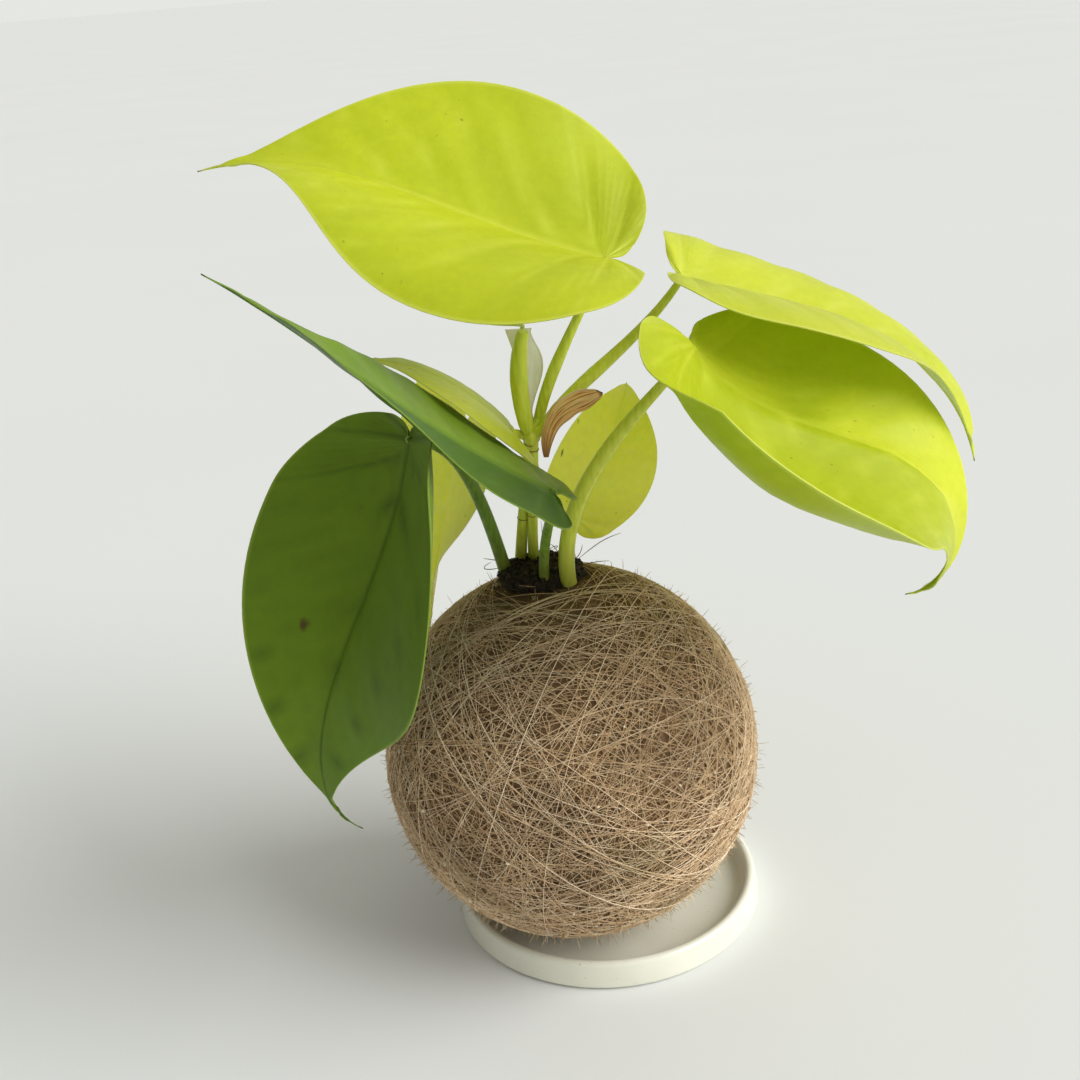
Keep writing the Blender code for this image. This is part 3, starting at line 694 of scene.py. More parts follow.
def bezier(controls, steps):
    """Points along a cubic curve."""
    a, b, c, d = [np.array(p, float) for p in controls]
    t = np.linspace(0.0, 1.0, steps)[:, None]
    return (1 - t) ** 3 * a + 3 * (1 - t) ** 2 * t * b + 3 * (1 - t) * t * t * c + t ** 3 * d


def half_outline(lobe, lobe_out, wide, widest, neck):
    """One half of a heart outline for a leaf 1 long."""
    neck_x, neck_y = neck
    run = neck_x - widest
    tail = 1.0 - neck_x
    fall = 0.385 * (wide - neck_y) * 0.33 * tail / (0.36 * run) * 1.2
    pieces = [
        ((0.0, 0.0), (-0.55 * lobe, 0.02), (-lobe, 0.35 * lobe_out), (-lobe, lobe_out)),
        ((-lobe, lobe_out), (-lobe, lobe_out + 0.6 * (wide - lobe_out)),
         (widest - 0.62 * (widest + lobe), wide), (widest, wide)),
        ((widest, wide), (widest + 0.52 * run, wide),
         (neck_x - 0.36 * run, neck_y + 0.42 * (wide - neck_y)), (neck_x, neck_y)),
        ((neck_x, neck_y), (neck_x + 0.33 * tail, neck_y - fall), (1.0 - 0.35 * tail, 0.006), (1.0, 0.0)),
    ]
    parts = [bezier(piece, OUTLINE_STEPS + 1)[:-1] for piece in pieces]
    outline = np.vstack(parts + [np.array([[1.0, 0.0]])])
    outline[:, 1] = np.maximum(outline[:, 1], 0.0)
    return outline


def unit(vector):
    """A vector of length one."""
    vector = np.array(vector, float)
    return vector / np.linalg.norm(vector)


def turned(vector, axis, angle):
    """A vector turned about an axis."""
    return (vector * math.cos(angle) + np.cross(axis, vector) * math.sin(angle)
            + axis * np.dot(axis, vector) * (1 - math.cos(angle)))


def advance(forward, left, up, down, across, about):
    """The next forward, left and up directions along a midrib."""
    onward = unit(forward - up * down + left * across)
    above = unit(up - onward * np.dot(up, onward))
    above = turned(above, onward, about)
    return onward, np.cross(above, onward), above


def midrib(leaf):
    """Distances along a midrib, with the place and the left and up directions at each."""
    heading, pitch, roll = [math.radians(leaf[key]) for key in ("heading", "pitch", "roll")]
    forward = np.array([math.cos(pitch) * math.cos(heading), math.cos(pitch) * math.sin(heading), math.sin(pitch)])
    up = np.array([-math.sin(pitch) * math.cos(heading), -math.sin(pitch) * math.sin(heading), math.cos(pitch)])
    up = turned(up, forward, roll)
    start = (forward, np.cross(up, forward), up)
    step = 1.0 / MIDRIB_STEPS
    place = np.array(leaf["joint"], float)
    stations = [(0.0, place, start)]
    now = start
    for i in range(MIDRIB_STEPS):
        x = (i + 0.5) * step
        bends = [sum(k * x ** n for n, k in enumerate(leaf[way])) * step for way in ("droop", "sway", "twist")]
        after = advance(*now, *bends)
        place = place + (now[0] + after[0]) * 0.5 * step * leaf["length"]
        now = after
        stations.append(((i + 1) * step, place, now))
    behind = []
    place = np.array(leaf["joint"], float)
    now = start
    for i in range(int(round(LOBE_REACH / step))):
        after = advance(*now, -leaf["lobe_lift"] * step, 0.0, 0.0)
        place = place - (now[0] + after[0]) * 0.5 * step * leaf["length"]
        now = after
        behind.append((-(i + 1) * step, place, now))
    walk = behind[::-1] + stations
    return (np.array([s[0] for s in walk]), np.array([s[1] for s in walk]),
            np.array([s[2][1] for s in walk]), np.array([s[2][2] for s in walk]))


# %% [markdown]
# Veins follow the leaf's own plan. Each one starts on the midrib, leaves it at an angle and curves forward.
# From them come two values for every point: how near the closest main vein is, and how far the point has got
# from one vein to the next, which the fine veins and the soft quilting between them use.

# %% Vein plan
VEIN_STARTS = (0.0, 0.0, 0.0, 0.03, 0.13, 0.25, 0.38, 0.52, 0.68)
VEIN_ANGLES = (150, 122, 96, 74, 62, 56, 51, 47, 43)
VEIN_BOW = 0.42
MAIN_VEIN = 0.0065
MIDRIB_WIDTH = 0.010
FINE_PER_GAP = 6


def vein_plan(x, y):
    """Nearness to a main vein, place between veins and nearness to the midrib, for points in leaf lengths."""
    past = []
    near = np.zeros_like(x)
    for start, angle in zip(VEIN_STARTS, VEIN_ANGLES):
        turn = math.radians(angle)
        out = y / math.sin(turn)
        beyond = x - (start + out * math.cos(turn) + VEIN_BOW * out * out)
        past.append(beyond)
        width = MAIN_VEIN * (1.15 - 0.9 * np.clip(out / 0.45, 0, 1))
        near = np.maximum(near, np.exp(-(beyond * math.sin(turn) / width) ** 2) * np.clip(1.1 - 1.6 * out, 0, 1))
    between = np.zeros_like(x)
    for before, after in zip(past, past[1:]):
        between += np.clip(before / np.maximum(before - after, 1e-6), 0, 1)
    middle = np.exp(-(y / (MIDRIB_WIDTH * (1.2 - np.clip(x, 0, 1)))) ** 2) * (x > -0.02)
    return near, between, middle


# %% [markdown]
# A blade starts as a flat grid with a row of faces for each step of the outline. Its points are then moved to
# their place on the folded, bent leaf, raised along veins and between them, waved at the margin, and the
# doubled points at the joint and the tip are merged. Solidify gives it the thickness of a real leaf.

# %% Making a blade
BLADE_THICKNESS = 0.34
QUILT = 0.60
MARGIN_WAVE = 0.35
CREASE = 0.03


def keep_value(piece, name, values):
    """Store one value per point under a name."""
    kept = piece.data.attributes.new(name, "FLOAT", "POINT")
    kept.data.foreach_set("value", np.asarray(values, np.float32).ravel())


def make_blade(name, leaf, vein_rise, marks=(), painted_shade_spots=(), hem=None, waves=6):
    """A fine heart-shaped blade, with its vein, half, margin, mark and painted-shade values on its points."""
    halves = [half_outline(leaf["lobe"][k], leaf["lobe_out"], leaf["half_width"][k], leaf["widest"], leaf["neck"])
              for k in (0, 1)]
    mean = 0.5 * (halves[0] + halves[1])
    anchors = np.maximum(0.0, mean[:, 0] - 0.75 * mean[:, 1])
    anchors[-1] = 1.0
    shares = np.linspace(-1, 1, 2 * HALF_ROWS + 1)
    side = np.where(shares > 0, 1.0, -1.0)
    share = np.abs(shares)[None, :]
    out_x = np.where(side[None, :] > 0, halves[0][:, :1], halves[1][:, :1])
    out_y = np.where(side[None, :] > 0, halves[0][:, 1:], halves[1][:, 1:])
    x = anchors[:, None] + (out_x - anchors[:, None]) * share
    y = out_y * share
    at, places, lefts, ups = midrib(leaf)

    def along(table):
        return np.stack([np.interp(x, at, table[:, i]) for i in range(3)], -1)

    place, left, up = along(places), along(lefts), along(ups)
    t = np.clip(x, 0.0, 1.0)
    right_side = side[None, :] < 0
    fold = np.where(right_side, leaf["fold_right"][0] * (1 - t) + leaf["fold_right"][1] * t,
                    leaf["fold_left"][0] * (1 - t) + leaf["fold_left"][1] * t)
    cup = np.where(right_side, leaf["cup"][1], leaf["cup"][0]) * np.ones_like(x)
    out = (np.sin(fold + cup * y) - np.sin(fold)) / cup
    rise = (np.cos(fold) - np.cos(fold + cup * y)) / cup
    if hem:
        hem_side, hem_from, hem_turn = hem
        held = np.minimum(share, hem_from) / np.maximum(share, 1e-6)
        at_hem = y * held
        held_out = (np.sin(fold + cup * at_hem) - np.sin(fold)) / cup
        held_rise = (np.cos(fold) - np.cos(fold + cup * at_hem)) / cup
        past = y - at_hem
        bend = fold + cup * at_hem + hem_turn * np.clip((share - hem_from) / 0.12, 0, 1)
        hemmed = side[None, :] == hem_side
        out = np.where(hemmed, held_out + past * np.cos(bend), out)
        rise = np.where(hemmed, held_rise + past * np.sin(bend), rise)
    rise = rise * (np.sqrt(y * y + CREASE ** 2) - CREASE) / np.maximum(y, 1e-6)
    points = place + leaf["length"] * ((side[None, :] * out)[..., None] * left + rise[..., None] * up)

    near, between, middle = vein_plan(x, y)
    normal = np.cross(np.gradient(points, axis=0), np.gradient(points, axis=1))
    size = np.linalg.norm(normal, axis=-1, keepdims=True)
    normal = normal / np.maximum(size, 1e-9)
    normal = normal * np.where(np.sum(normal * up, axis=-1, keepdims=True) < 0, -1.0, 1.0)
    scale = leaf["length"] / 110
    quilt = QUILT * np.sin(math.pi * (between % 1.0)) * np.sin(math.pi * np.clip(share, 0, 1)) ** 0.7
    turns = np.linspace(0, 1, len(anchors))[:, None]
    wave = MARGIN_WAVE * share ** 4 * np.sin(math.tau * (waves * turns + 0.13 * side[None, :] * waves))
    relief = vein_rise * near * (1 - 0.7 * share) - 0.5 * middle + quilt * np.sign(-vein_rise + 1e-6) * -1 + wave
    relief = relief * np.clip(8 * turns * (1 - turns), 0, 1) * scale
    points = points + normal * relief[..., None]

    bpy.ops.object.select_all(action="DESELECT")
    bpy.ops.mesh.primitive_grid_add(x_subdivisions=2 * HALF_ROWS, y_subdivisions=len(anchors) - 1, size=1)
    blade = bpy.context.object
    order = {}
    for index, vertex in enumerate(blade.data.vertices):
        order[index] = (round((vertex.co.y + 0.5) * (len(anchors) - 1)), round((vertex.co.x + 0.5) * 2 * HALF_ROWS))
    picks = np.array([order[i] for i in range(len(order))])
    blade.data.vertices.foreach_set("co", (points[picks[:, 0], picks[:, 1]] * MM).ravel())
    fine = 0.5 + 0.5 * np.cos(math.tau * FINE_PER_GAP * between)

    def blots(places):
        found = np.zeros_like(x)
        for blot_x, blot_y, blot_side, reach in places:
            apart = np.hypot(x - blot_x, side[None, :] * y - blot_side * blot_y) / reach
            found = np.maximum(found, np.exp(-apart ** 2))
        return found

    # Broad blots of the last value mark where the finish paints shade.
    values = {"vein": np.maximum(near, middle), "middle": middle, "fine": fine ** 5 * (1 - near),
              "half": 0.5 + 0.5 * np.clip(shares[None, :] * 14, -1, 1) * np.ones_like(x),
              "edge": share * np.ones_like(x), "run": t, "mark": blots(marks), "painted_shade": blots(painted_shade_spots)}
    for key, table in values.items():
        keep_value(blade, key, (table * np.ones_like(x))[picks[:, 0], picks[:, 1]])
    only(blade)
    bpy.ops.object.mode_set(mode="EDIT")
    bpy.ops.mesh.select_all(action="SELECT")
    bpy.ops.mesh.remove_doubles(threshold=0.000004)
    bpy.ops.mesh.normals_make_consistent(inside=False)
    bpy.ops.object.mode_set(mode="OBJECT")
    shell = blade.modifiers.new("thickness", "SOLIDIFY")
    shell.thickness = BLADE_THICKNESS * MM
    shell.offset = 0.0
    bpy.ops.object.modifier_apply(modifier="thickness")
    low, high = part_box(name)
    reach = np.array([v.co for v in blade.data.vertices])
    drift = max(np.abs(reach.min(0) - np.array(low)).max(), np.abs(reach.max(0) - np.array(high)).max())
    print(name, "differs from the packed blade by at most", round(drift / MM, 2), "mm")
    return blade


# %% [markdown]
# Young leaves of this vine are lime yellow and let light through; older and shaded ones are deep green. One
# recipe serves them all: a colour for each half, cloudy change between two shades, paler or darker veins, a
# thin paler margin painted as a highlight, a brown point and a soft wax sheen. Light inside the blade gives
# part of the lit-through look; two leaves also get very pale colours as painted backlight, and on two
# leaves the halves are painted lighter and darker as painted light and painted shade.

# %% Leaf finish
def leaf_finish(name, first_half, second_half, shade, veins, vein_strength, margin, glow=0.25, margin_from=0.975):
    """A leaf finish from its half colours, shade, veins and margin; shade also fills the painted-shade spots."""
    material, tree, shader = new_material(name, 0.42)
    base = mixed(tree, attribute(tree, "half"), second_half, first_half)
    clouds = ramp(tree, noise(tree, 16.0, 2.0), (0.40, grey(0.0)), (0.70, grey(0.5)))
    base = mixed(tree, clouds, base, shade)
    # Painted shade: broad spots where a lobe turns away from the light are mixed towards the shade colour.
    base = mixed(tree, maths(tree, "MULTIPLY", attribute(tree, "painted_shade"), 0.85), base, shade)
    mottle = ramp(tree, noise(tree, 420.0, 4.0), (0.30, grey(0.96)), (0.70, grey(1.03)))
    base = mixed(tree, 1.0, base, mottle, "MULTIPLY")
    fine = maths(tree, "MULTIPLY", attribute(tree, "fine"), 0.14)
    base = mixed(tree, fine, base, veins)
    base = mixed(tree, maths(tree, "MULTIPLY", attribute(tree, "vein"), vein_strength), base, veins)
    # Painted highlight: the paler margin stands for light glinting on and shining through the thin edge.
    rim = ramp(tree, attribute(tree, "edge"), (margin_from, grey(0.0)), (0.995, grey(0.5)))
    base = mixed(tree, rim, base, margin)
    spots = ramp(tree, attribute(tree, "mark"), (0.25, grey(0.0)), (0.6, grey(0.9)))
    base = mixed(tree, spots, base, colour(86, 58, 30))
    specks = ramp(tree, noise(tree, 520.0, 1.0), (0.765, grey(0.0)), (0.80, grey(0.45)))
    base = mixed(tree, specks, base, colour(96, 92, 30))
    point = ramp(tree, attribute(tree, "run"), (0.985, grey(0.0)), (0.997, grey(0.95)))
    tree.links.new(mixed(tree, point, base, colour(66, 44, 22)), shader.inputs["Base Color"])
    shader.inputs["Subsurface Weight"].default_value = glow
    shader.inputs["Subsurface Radius"].default_value = (0.6, 1.0, 0.15)
    shader.inputs["Subsurface Scale"].default_value = 0.0015
    shader.inputs["Specular IOR Level"].default_value = 0.22
    grain = maths(tree, "ADD", maths(tree, "MULTIPLY", noise(tree, 1500.0, 3.0), 0.5),
                  maths(tree, "MULTIPLY", attribute(tree, "fine"), 0.5))
    bumped(tree, shader, grain, 0.00007)
    return material


lime_finish = leaf_finish("leaf_lime", colour(190, 200, 36), colour(190, 200, 34), colour(160, 170, 26),
                          colour(208, 216, 74), 0.5, colour(214, 220, 104))
pale_finish = leaf_finish("leaf_pale_lime", colour(200, 208, 56), colour(194, 202, 48), colour(168, 180, 34),
                          colour(214, 220, 100), 0.4, colour(220, 226, 130), 0.35)
# Painted light and shade: its two halves are coloured apart to stand for how light falls on each half.
lime_halves_painted_light_finish = leaf_finish("leaf_lime_painted_light_and_shade", colour(206, 214, 44), colour(174, 184, 28), colour(160, 172, 26),
                           colour(212, 218, 74), 0.35, colour(212, 220, 104), 0.4)
# Painted backlight: these very pale base colours stand for light shining through the blade from behind.
backlight_painted_finish = leaf_finish("leaf_painted_backlight", colour(250, 252, 100), colour(248, 250, 96), colour(232, 238, 78),
                         colour(248, 250, 150), 0.4, colour(246, 248, 160), 0.5)
# Painted shade: the dark vein colour stands for the shade in the sunk veins.
green_finish = leaf_finish("leaf_deep_green", colour(100, 130, 22), colour(108, 136, 24), colour(78, 104, 18),
                           colour(54, 78, 14), 0.6, colour(160, 180, 76), 0.12)
# Painted light and shade: the dark half stands for the half turned from the light, the pale half for the half facing
# up.
folded_painted_light_finish = leaf_finish("leaf_folded_green_painted_light_and_shade", colour(66, 100, 24), colour(120, 146, 42), colour(70, 106, 24),
                            colour(92, 126, 36), 0.5, colour(150, 172, 70), 0.12)

# %% [markdown]
# Each blade now gets its finish. Raised veins catch light on the lime leaves; on the deep green leaf the veins
# are sunk and painted darker as shade, and it carries the few brown blemishes of an older leaf.

# %% Make the eight blades
BLADES = {
    # On the first three blades, broad spots of painted shade darken a lobe that turns away from the light.
    "upper_leaf": dict(finish=lime_finish, vein_rise=0.42, painted_shade_spots=((-0.03, 0.16, -1, 0.11), (-0.03, 0.10, -1, 0.08))),
    "right_upper_leaf": dict(finish=pale_finish, vein_rise=0.35, painted_shade_spots=((0.02, 0.10, -1, 0.10),)),
    "right_lower_leaf": dict(finish=lime_halves_painted_light_finish, vein_rise=0.42, painted_shade_spots=((0.30, 0.03, 1, 0.08),)),
    "left_hanging_leaf": dict(finish=green_finish, vein_rise=-0.45,
                              marks=((0.47, 0.13, -1, 0.014), (0.25, 0.05, 1, 0.006), (0.70, 0.10, -1, 0.004),
                                     (0.36, 0.02, -1, 0.004), (0.62, 0.22, -1, 0.004))),
    "inner_hanging_leaf": dict(finish=backlight_painted_finish, vein_rise=0.25),
    "front_folded_leaf": dict(finish=folded_painted_light_finish, vein_rise=-0.3, hem=(-1, 0.80, -1.3)),
    "young_left_leaf": dict(finish=pale_finish, vein_rise=0.25),
    "back_upright_leaf": dict(finish=backlight_painted_finish, vein_rise=0.25,
                              marks=((0.35, 0.29, 1, 0.012), (0.55, 0.27, 1, 0.010), (0.20, 0.20, -1, 0.008))),
}
GREEN_LEAVES = ("left_hanging_leaf", "front_folded_leaf")
for node, plan in BLADES.items():
    finish = plan.pop("finish")
    settle(make_blade(node, LEAVES[node], **plan), node + "_blade", finish, [node], sharp=70)

# %% [markdown]
# ## Stalks and stems
# Leaf stalks are smooth and round and swell a little at their feet. Each follows a curve of four control
# points, whose last is its leaf's joint. A path with a round bevel makes the tube, which becomes a mesh.

# %% Routes of stalks and stems
STALKS = {
    "stalk_upper": ((-9.9, -2.2, 161.4), (-6.5, -5.5, 174.0), (-2.5, -8.0, 181.0), (1.5, 1.7, 0.9)),
    "stalk_right_upper": ((-8.6, -5.8, 159.6), (-1.5, -2.5, 169.5), (19.0, 2.0, 178.0), (1.5, 1.9, 1.0)),
    "stalk_right_lower": ((-5.4, -8.9, 113.2), (-8.6, -13.0, 146.1), (20.5, -18.5, 168.0), (2.4, 2.0, 1.0)),
    "stalk_left_hanging": ((-23.0, 3.1, 110.9), (-29.4, -5.2, 150.0), (-34.0, -12.0, 158.7), (2.0, 1.7, 0.9)),
    "stalk_front_folded": ((-12.3, -7.5, 113.1), (-12.3, -11.4, 129.9), (-8.4, -22.0, 138.5), (1.5, 1.4, 0.8)),
    "stalk_back_upright": ((-3.4, 9.9, 111.6), (-4.7, 11.6, 114.6), (-3.1, 13.3, 119.6), (1.5, 1.3, 0.8)),
    "stalk_young_left": ((-15.6, -4.6, 157.4), (-16.0, -4.4, 157.6), (-17.2, -5.4, 158.2), (1.2, 1.2, 0.8)),
    "stalk_inner_hanging": ((-15.9, 1.4, 147.6), (-19.0, 9.0, 146.3), (-28.4, 16.0, 144.0), (1.3, 1.3, 0.8)),
}
STEMS = {
    "left": ((-19.1, 7.0, 111.6), (-18.2, 3.0, 121.7), (-14.8, -1.0, 147.4), (-12.7, -5.0, 156.9), (1.9, 1.5, 1.7)),
    "right": ((-14.3, 6.0, 112.4), (-15.9, 2.3, 115.5), (-13.3, -1.3, 139.7), (-12.4, -4.2, 155.0), (1.7, 1.5, 1.7)),
}
SHOOT = ((-13.9, -5.2, 160.6), (-15.4, -6.3, 173.0), (-14.7, -7.7, 179.8), (-12.5, -9.0, 187.5), (1.4, 2.1, 1.4))
TENDRIL = ((-12.8, -9.3, 188.3), (-9.6, -10.7, 191.0), (-25.6, -12.3, 188.9), (-25.2, -14.0, 195.4), (0.5, 0.42, 0.35))
HUSK = ((-9.0, -8.8, 151.6), (-8.2, -9.2, 168.6), (5.6, -9.4, 166.3), (7.0, -9.6, 169.3))
NODE_CENTRE = (-12.6, -4.8, 156.6)
NODE_RADIUS = 2.5
print("stalks:", len(STALKS), "stems:", len(STEMS))

# %% Making a stalk
STALK_STEPS = 60
BEVEL_STEPS = 5


def make_stalk(name, path, radii):
    """A round tapered stalk with closed ends, from points in millimetres and three radii along it."""
    bpy.ops.object.select_all(action="DESELECT")
    line = bpy.data.curves.new(name, "CURVE")
    line.dimensions = "3D"
    line.bevel_depth = MM
    line.bevel_resolution = BEVEL_STEPS
    line.use_fill_caps = True
    spline = line.splines.new("POLY")
    spline.points.add(len(path) - 1)
    for i, (point, place) in enumerate(zip(spline.points, path)):
        point.co = (*(place * MM), 1.0)
        point.radius = np.interp(i / (len(path) - 1), np.linspace(0, 1, len(radii)), radii)
    stalk = bpy.data.objects.new(name, line)
    bpy.context.scene.collection.objects.link(stalk)
    only(stalk)
    bpy.ops.object.convert(target="MESH")
    stalk = bpy.context.object
    bpy.ops.object.mode_set(mode="EDIT")
    bpy.ops.mesh.select_all(action="SELECT")
    bpy.ops.mesh.remove_doubles(threshold=0.00001)
    bpy.ops.mesh.normals_make_consistent(inside=False)
    bpy.ops.object.mode_set(mode="OBJECT")
    return stalk


def stalk_finish(name, base, shade, light):
    """Smooth green stalk with fine lengthwise streaks, darker and browner near the soil."""
    material, tree, shader = new_material(name, 0.4)
    streaks = ramp(tree, noise(tree, 900.0, 3.0, (1.0, 1.0, 0.06)), (0.3, shade), (0.55, base), (0.8, light))
    height = tree.nodes.new("ShaderNodeSeparateXYZ")
    tree.links.new(stretched_place(tree, (1.0, 1.0, 1.0)), height.inputs["Vector"])
    near_soil = maths(tree, "DIVIDE", maths(tree, "SUBTRACT", height.outputs["Z"], soil_high.z), 0.02)
    browner = ramp(tree, near_soil, (0.0, grey(0.55)), (0.6, grey(0.0)))
    tinted = mixed(tree, browner, streaks, colour(118, 110, 52))
    spots = ramp(tree, noise(tree, 800.0, 2.0), (0.72, grey(0.0)), (0.78, grey(0.5)))
    tree.links.new(mixed(tree, spots, tinted, colour(120, 96, 48)), shader.inputs["Base Color"])
    shader.inputs["Specular IOR Level"].default_value = 0.3
    shader.inputs["Subsurface Weight"].default_value = 0.3
    shader.inputs["Subsurface Radius"].default_value = (0.8, 1.0, 0.2)
    shader.inputs["Subsurface Scale"].default_value = 0.002
    bumped(tree, shader, noise(tree, 1100.0, 2.0, (1.0, 1.0, 0.08)), 0.00006)
    return material


lime_stalk = stalk_finish("stalk_lime", colour(214, 224, 76), colour(198, 210, 60), colour(228, 234, 104))
green_stalk = stalk_finish("stalk_green", colour(118, 150, 52), colour(94, 126, 40), colour(146, 172, 74))

# %% Make the stalks
LEAF_OF = {
    "stalk_upper": "upper_leaf", "stalk_right_upper": "right_upper_leaf",
    "stalk_right_lower": "right_lower_leaf", "stalk_left_hanging": "left_hanging_leaf",
    "stalk_front_folded": "front_folded_leaf", "stalk_back_upright": "back_upright_leaf",
    "stalk_young_left": "young_left_leaf", "stalk_inner_hanging": "inner_hanging_leaf",
}
KNUCKLE_REACH = 12.0


def from_knuckle(path):
    """A path that starts near the knuckle is led back into it, because the stalk grows out of it."""
    foot = np.array(NODE_CENTRE)
    if np.linalg.norm(path[0] - foot) > KNUCKLE_REACH or path[0][2] < foot[2] - 2:
        return path
    lead = unit(path[1] - path[0])
    root = bezier([foot, foot + (path[0] - foot) * 0.5, path[0] - lead * 1.2, path[0]], 10)
    return np.vstack([root[:-1], path])


for node, leaf in LEAF_OF.items():
    *controls, radii = STALKS[node]
    path = from_knuckle(bezier([*controls, LEAVES[leaf]["joint"]], STALK_STEPS))
    green = leaf in GREEN_LEAVES
    stalk = make_stalk(node, path, radii)
    settle(stalk, node + "_round", green_stalk if green else lime_stalk,
           [node])

# %% [markdown]
# The vine's two stems meet in a knuckle from which the younger stalks and the shoot grow. Real knuckles carry
# ring scars, so the stems swell there and a few thin brown rings are laid round them.

# %% Stems, knuckle and scars
stems = []
for side, (*controls, radii) in STEMS.items():
    stems.append(make_stalk("stem_" + side, bezier(controls, STALK_STEPS), radii))
bpy.ops.object.select_all(action="DESELECT")
bpy.ops.mesh.primitive_ico_sphere_add(subdivisions=4, radius=NODE_RADIUS * MM, location=[c * MM for c in NODE_CENTRE])
knuckle = bpy.context.object
for vertex in knuckle.data.vertices:
    vertex.co *= 1 + 0.10 * field.noise(vertex.co * 900)
stems.append(knuckle)
settle(stems[0], "vine_stem_left", lime_stalk, ["vine_stem"])
settle(stems[1], "vine_stem_right", lime_stalk)
settle(knuckle, "stem_knuckle", lime_stalk, sharp=180)

scar_brown, tree, shader = new_material("scar_brown", 0.8)
tree.links.new(ramp(tree, noise(tree, 900.0, 3.0), (0.35, colour(126, 98, 52)), (0.7, colour(176, 150, 84))),
               shader.inputs["Base Color"])
bumped(tree, shader, noise(tree, 1500.0, 3.0), 0.0001)
SCAR_PLACES = (("left", 0.42), ("left", 0.93), ("right", 0.55), ("right", 0.95))
for count, (side, share) in enumerate(SCAR_PLACES):
    *controls, radii = STEMS[side]
    path = bezier(controls, 101)
    middle = path[int(share * 100)]
    along = unit(path[int(share * 100) + 1] - path[int(share * 100) - 1])
    reach = np.interp(share, (0, 0.5, 1), radii) + 0.05
    first = unit(np.cross(along, (1.0, 0.3, 0.2)))
    second = np.cross(along, first)
    turns = np.linspace(0, math.tau, 33)
    ring = middle + reach * (np.outer(np.cos(turns), first) + np.outer(np.sin(turns), second))
    settle(make_stalk("scar", ring, (0.08, 0.14, 0.08)), "ring_scar_" + str(count + 1), scar_brown)

# %% [markdown]
# ## The new shoot
# The next leaf is still rolled up. It is a slim spindle with the edge of the roll winding up it, ending in a
# curled dark-tipped tendril. A thin see-through sheath stands behind it, and an old one has dried brown.

# %% Shoot and tendril
*controls, radii = SHOOT
shoot_path = bezier(controls, STALK_STEPS)
shoot = make_stalk("shoot", from_knuckle(shoot_path), (1.7, 2.3, 2.5, 2.2, 1.5))
settle(shoot, "rolled_shoot", lime_stalk, ["new_shoot"])
seam_turns = np.linspace(0.6, 4.4, STALK_STEPS)
seam_reach = np.interp(np.linspace(0, 1, STALK_STEPS), (0, 0.5, 1), radii) + 0.02
seam = shoot_path + seam_reach[:, None] * np.column_stack([np.cos(seam_turns), -np.sin(seam_turns), 0 * seam_turns])
settle(make_stalk("seam", seam[4:-2], (0.12, 0.2, 0.1)), "shoot_roll_edge", lime_stalk)
*controls, radii = TENDRIL
tendril_finish, tree, shader = new_material("tendril_green", 0.5)
tint = stretched_place(tree, (1.0, 1.0, 1.0))
height = tree.nodes.new("ShaderNodeSeparateXYZ")
tree.links.new(tint, height.inputs["Vector"])
tip_share = maths(tree, "DIVIDE", maths(tree, "SUBTRACT", height.outputs["Z"], controls[2][2] * MM), 0.0065)
tree.links.new(ramp(tree, tip_share, (0.35, colour(186, 200, 96)), (0.7, colour(70, 56, 26))),
               shader.inputs["Base Color"])
settle(make_stalk("tendril", bezier(controls, 50), radii), "shoot_tendril_fine", tendril_finish,
       ["shoot_tendril"])

# %% [markdown]
# A sheath is a strip wrapped part of the way round its shoot. Both sheaths are grids whose points are moved
# to a curved strip with a torn edge, then thickened.

# %% Making a sheath
SHEATH_ROWS = 50
SHEATH_COLUMNS = 16
SHEATH_BEHIND = 2.9


def make_sheath(name, points, thickness):
    """A thin sheet from a table of points, rows by columns."""
    bpy.ops.object.select_all(action="DESELECT")
    bpy.ops.mesh.primitive_grid_add(x_subdivisions=points.shape[1] - 1, y_subdivisions=points.shape[0] - 1, size=1)
    sheet = bpy.context.object
    down, over = points.shape[0] - 1, points.shape[1] - 1
    picks = [(round((v.co.y + 0.5) * down), round((v.co.x + 0.5) * over)) for v in sheet.data.vertices]
    places = np.array([points[i, j] for i, j in picks])
    sheet.data.vertices.foreach_set("co", (places * MM).ravel())
    keep_value(sheet, "run", [i / down for i, j in picks])
    keep_value(sheet, "over", [j / over for i, j in picks])
    only(sheet)
    bpy.ops.object.mode_set(mode="EDIT")
    bpy.ops.mesh.select_all(action="SELECT")
    bpy.ops.mesh.normals_make_consistent(inside=False)
    bpy.ops.object.mode_set(mode="OBJECT")
    shell = sheet.modifiers.new("thickness", "SOLIDIFY")
    shell.thickness = thickness * MM
    shell.offset = 0.0
    bpy.ops.object.modifier_apply(modifier="thickness")
    return sheet


# %% Fresh sheath
path = bezier(SHOOT[:4], SHEATH_ROWS)
points = np.zeros((SHEATH_ROWS, SHEATH_COLUMNS + 1, 3))
for i, place in enumerate(path):
    u = i / (SHEATH_ROWS - 1)
    right = 2.4 + 4.4 * math.sin(math.pi * min(1.0, max(0.0, (u - 0.06) / 0.9))) ** 1.3
    left = -1.2 - 3.6 * max(0.0, (u - 0.66) / 0.34) ** 1.2
    for j in range(SHEATH_COLUMNS + 1):
        over = left + (right - left) * j / SHEATH_COLUMNS
        ripple = 0.12 * math.sin(9 * u + over)
        points[i, j] = place + np.array([over, SHEATH_BEHIND + 0.03 * over * over + ripple, 0.0])
fresh = make_sheath("fresh", points, 0.16)
fresh_finish, tree, shader = new_material("sheath_fresh", 0.45)
lines = ramp(tree, noise(tree, 1400.0, 3.0, (1.0, 1.0, 0.05)), (0.35, colour(240, 244, 216)), (0.65, colour(252, 253, 240)))
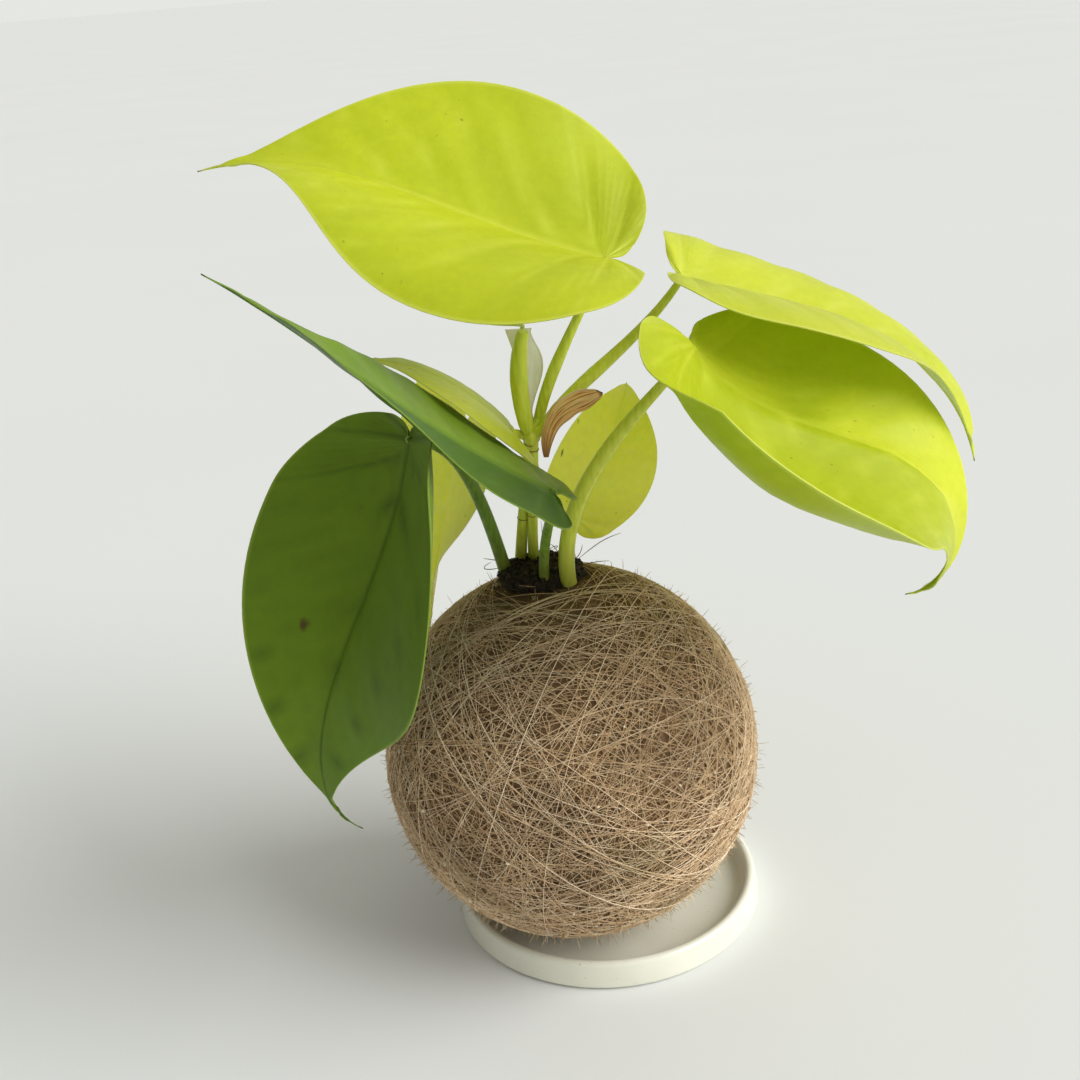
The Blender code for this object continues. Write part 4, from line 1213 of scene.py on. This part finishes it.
rim = ramp(tree, attribute(tree, "over"), (0.90, grey(0.0)), (0.98, grey(0.6)))
tree.links.new(mixed(tree, rim, lines, colour(206, 200, 150)), shader.inputs["Base Color"])
shader.inputs["Alpha"].default_value = 0.75
shader.inputs["Subsurface Weight"].default_value = 0.3
shader.inputs["Subsurface Scale"].default_value = 0.002
bumped(tree, shader, noise(tree, 1400.0, 3.0, (1.0, 1.0, 0.05)), 0.0001)
settle(fresh, "fresh_sheath_sheet", fresh_finish, ["fresh_sheath"], sharp=60)

# %% Dried sheath
path = bezier(HUSK, SHEATH_ROWS)
along = np.gradient(path, axis=0)
points = np.zeros((SHEATH_ROWS, SHEATH_COLUMNS + 1, 3))
for i, place in enumerate(path):
    u = i / (SHEATH_ROWS - 1)
    across = unit(np.cross(unit(along[i]), (0.0, -1.0, 0.0)))
    half = 0.25 + 3.2 * math.sin(math.pi * (0.04 + 0.92 * u)) ** 0.9
    for j in range(SHEATH_COLUMNS + 1):
        angle = math.radians(-65 + 130 * j / SHEATH_COLUMNS)
        crease = 0.10 * math.sin(j * 2.4 + 3 * u)
        bow = np.array([0.0, 1.0, 0.0]) * (half * 0.6 * (1 - math.cos(angle)) + crease)
        points[i, j] = place + across * half * math.sin(angle) * (1 + 0.05 * math.sin(21 * u)) + bow
dried = make_sheath("dried", points, 0.2)
dried_finish, tree, shader = new_material("sheath_dried", 0.75)
streaks = tree.nodes.new("ShaderNodeTexNoise")
streaks.inputs["Scale"].default_value = 1.0
streaks.inputs["Detail"].default_value = 3.0
spread = tree.nodes.new("ShaderNodeCombineXYZ")
tree.links.new(maths(tree, "MULTIPLY", attribute(tree, "over"), 22.0), spread.inputs["X"])
tree.links.new(maths(tree, "MULTIPLY", attribute(tree, "run"), 2.0), spread.inputs["Y"])
tree.links.new(spread.outputs["Vector"], streaks.inputs["Vector"])
brown = ramp(tree, streaks.outputs["Fac"], (0.38, colour(158, 92, 40)), (0.46, colour(236, 180, 104)),
             (0.60, colour(248, 216, 158)), (0.72, colour(206, 138, 70)))
rim = ramp(tree, attribute(tree, "over"), (0.0, grey(0.8)), (0.16, grey(0.0)))
brown = mixed(tree, rim, brown, colour(240, 222, 184))
ends = ramp(tree, attribute(tree, "run"), (0.0, grey(0.7)), (0.18, grey(0.0)), (0.90, grey(0.0)), (0.98, grey(0.9)))
tree.links.new(mixed(tree, ends, brown, colour(120, 70, 34)), shader.inputs["Base Color"])
shader.inputs["Specular IOR Level"].default_value = 0.2
shader.inputs["Subsurface Weight"].default_value = 0.15
shader.inputs["Subsurface Scale"].default_value = 0.001
bumped(tree, shader, streaks.outputs["Fac"], 0.0004)
settle(dried, "dry_sheath_sheet", dried_finish, ["dry_sheath"], sharp=60)

# %% [markdown]
# ## Roots at the crown
# A few thin roots and shreds stick out of the soil. They are too fine to matter to the physics, so only the
# scene has them.

# %% Root hairs
root_brown, tree, shader = new_material("root_brown", 0.85)
tree.links.new(ramp(tree, noise(tree, 600.0, 3.0), (0.35, colour(70, 50, 34)), (0.7, colour(176, 146, 104))),
               shader.inputs["Base Color"])
ROOTS = 16
roots = []
for _ in range(ROOTS):
    turn = rng.uniform(0, math.tau)
    reach = rng.uniform(6, 14)
    start = np.array([soil_middle[0] + reach * math.cos(turn), soil_middle[1] + reach * math.sin(turn),
                      soil_high.z / MM - 3.0])
    steps = rng.normal(size=(3, 3)) * (2.6, 2.6, 1.6) + (1.6 * math.cos(turn), 1.6 * math.sin(turn), 1.2)
    roots.append(bezier([start, start + steps[0], start + steps[0] + steps[1], start + steps.sum(0)], 9))
hair = strands("crown_roots", roots, rng.uniform(0.08, 0.22, ROOTS), rng.uniform(0, 1, ROOTS))
settle(hair, "crown_roots", root_brown)
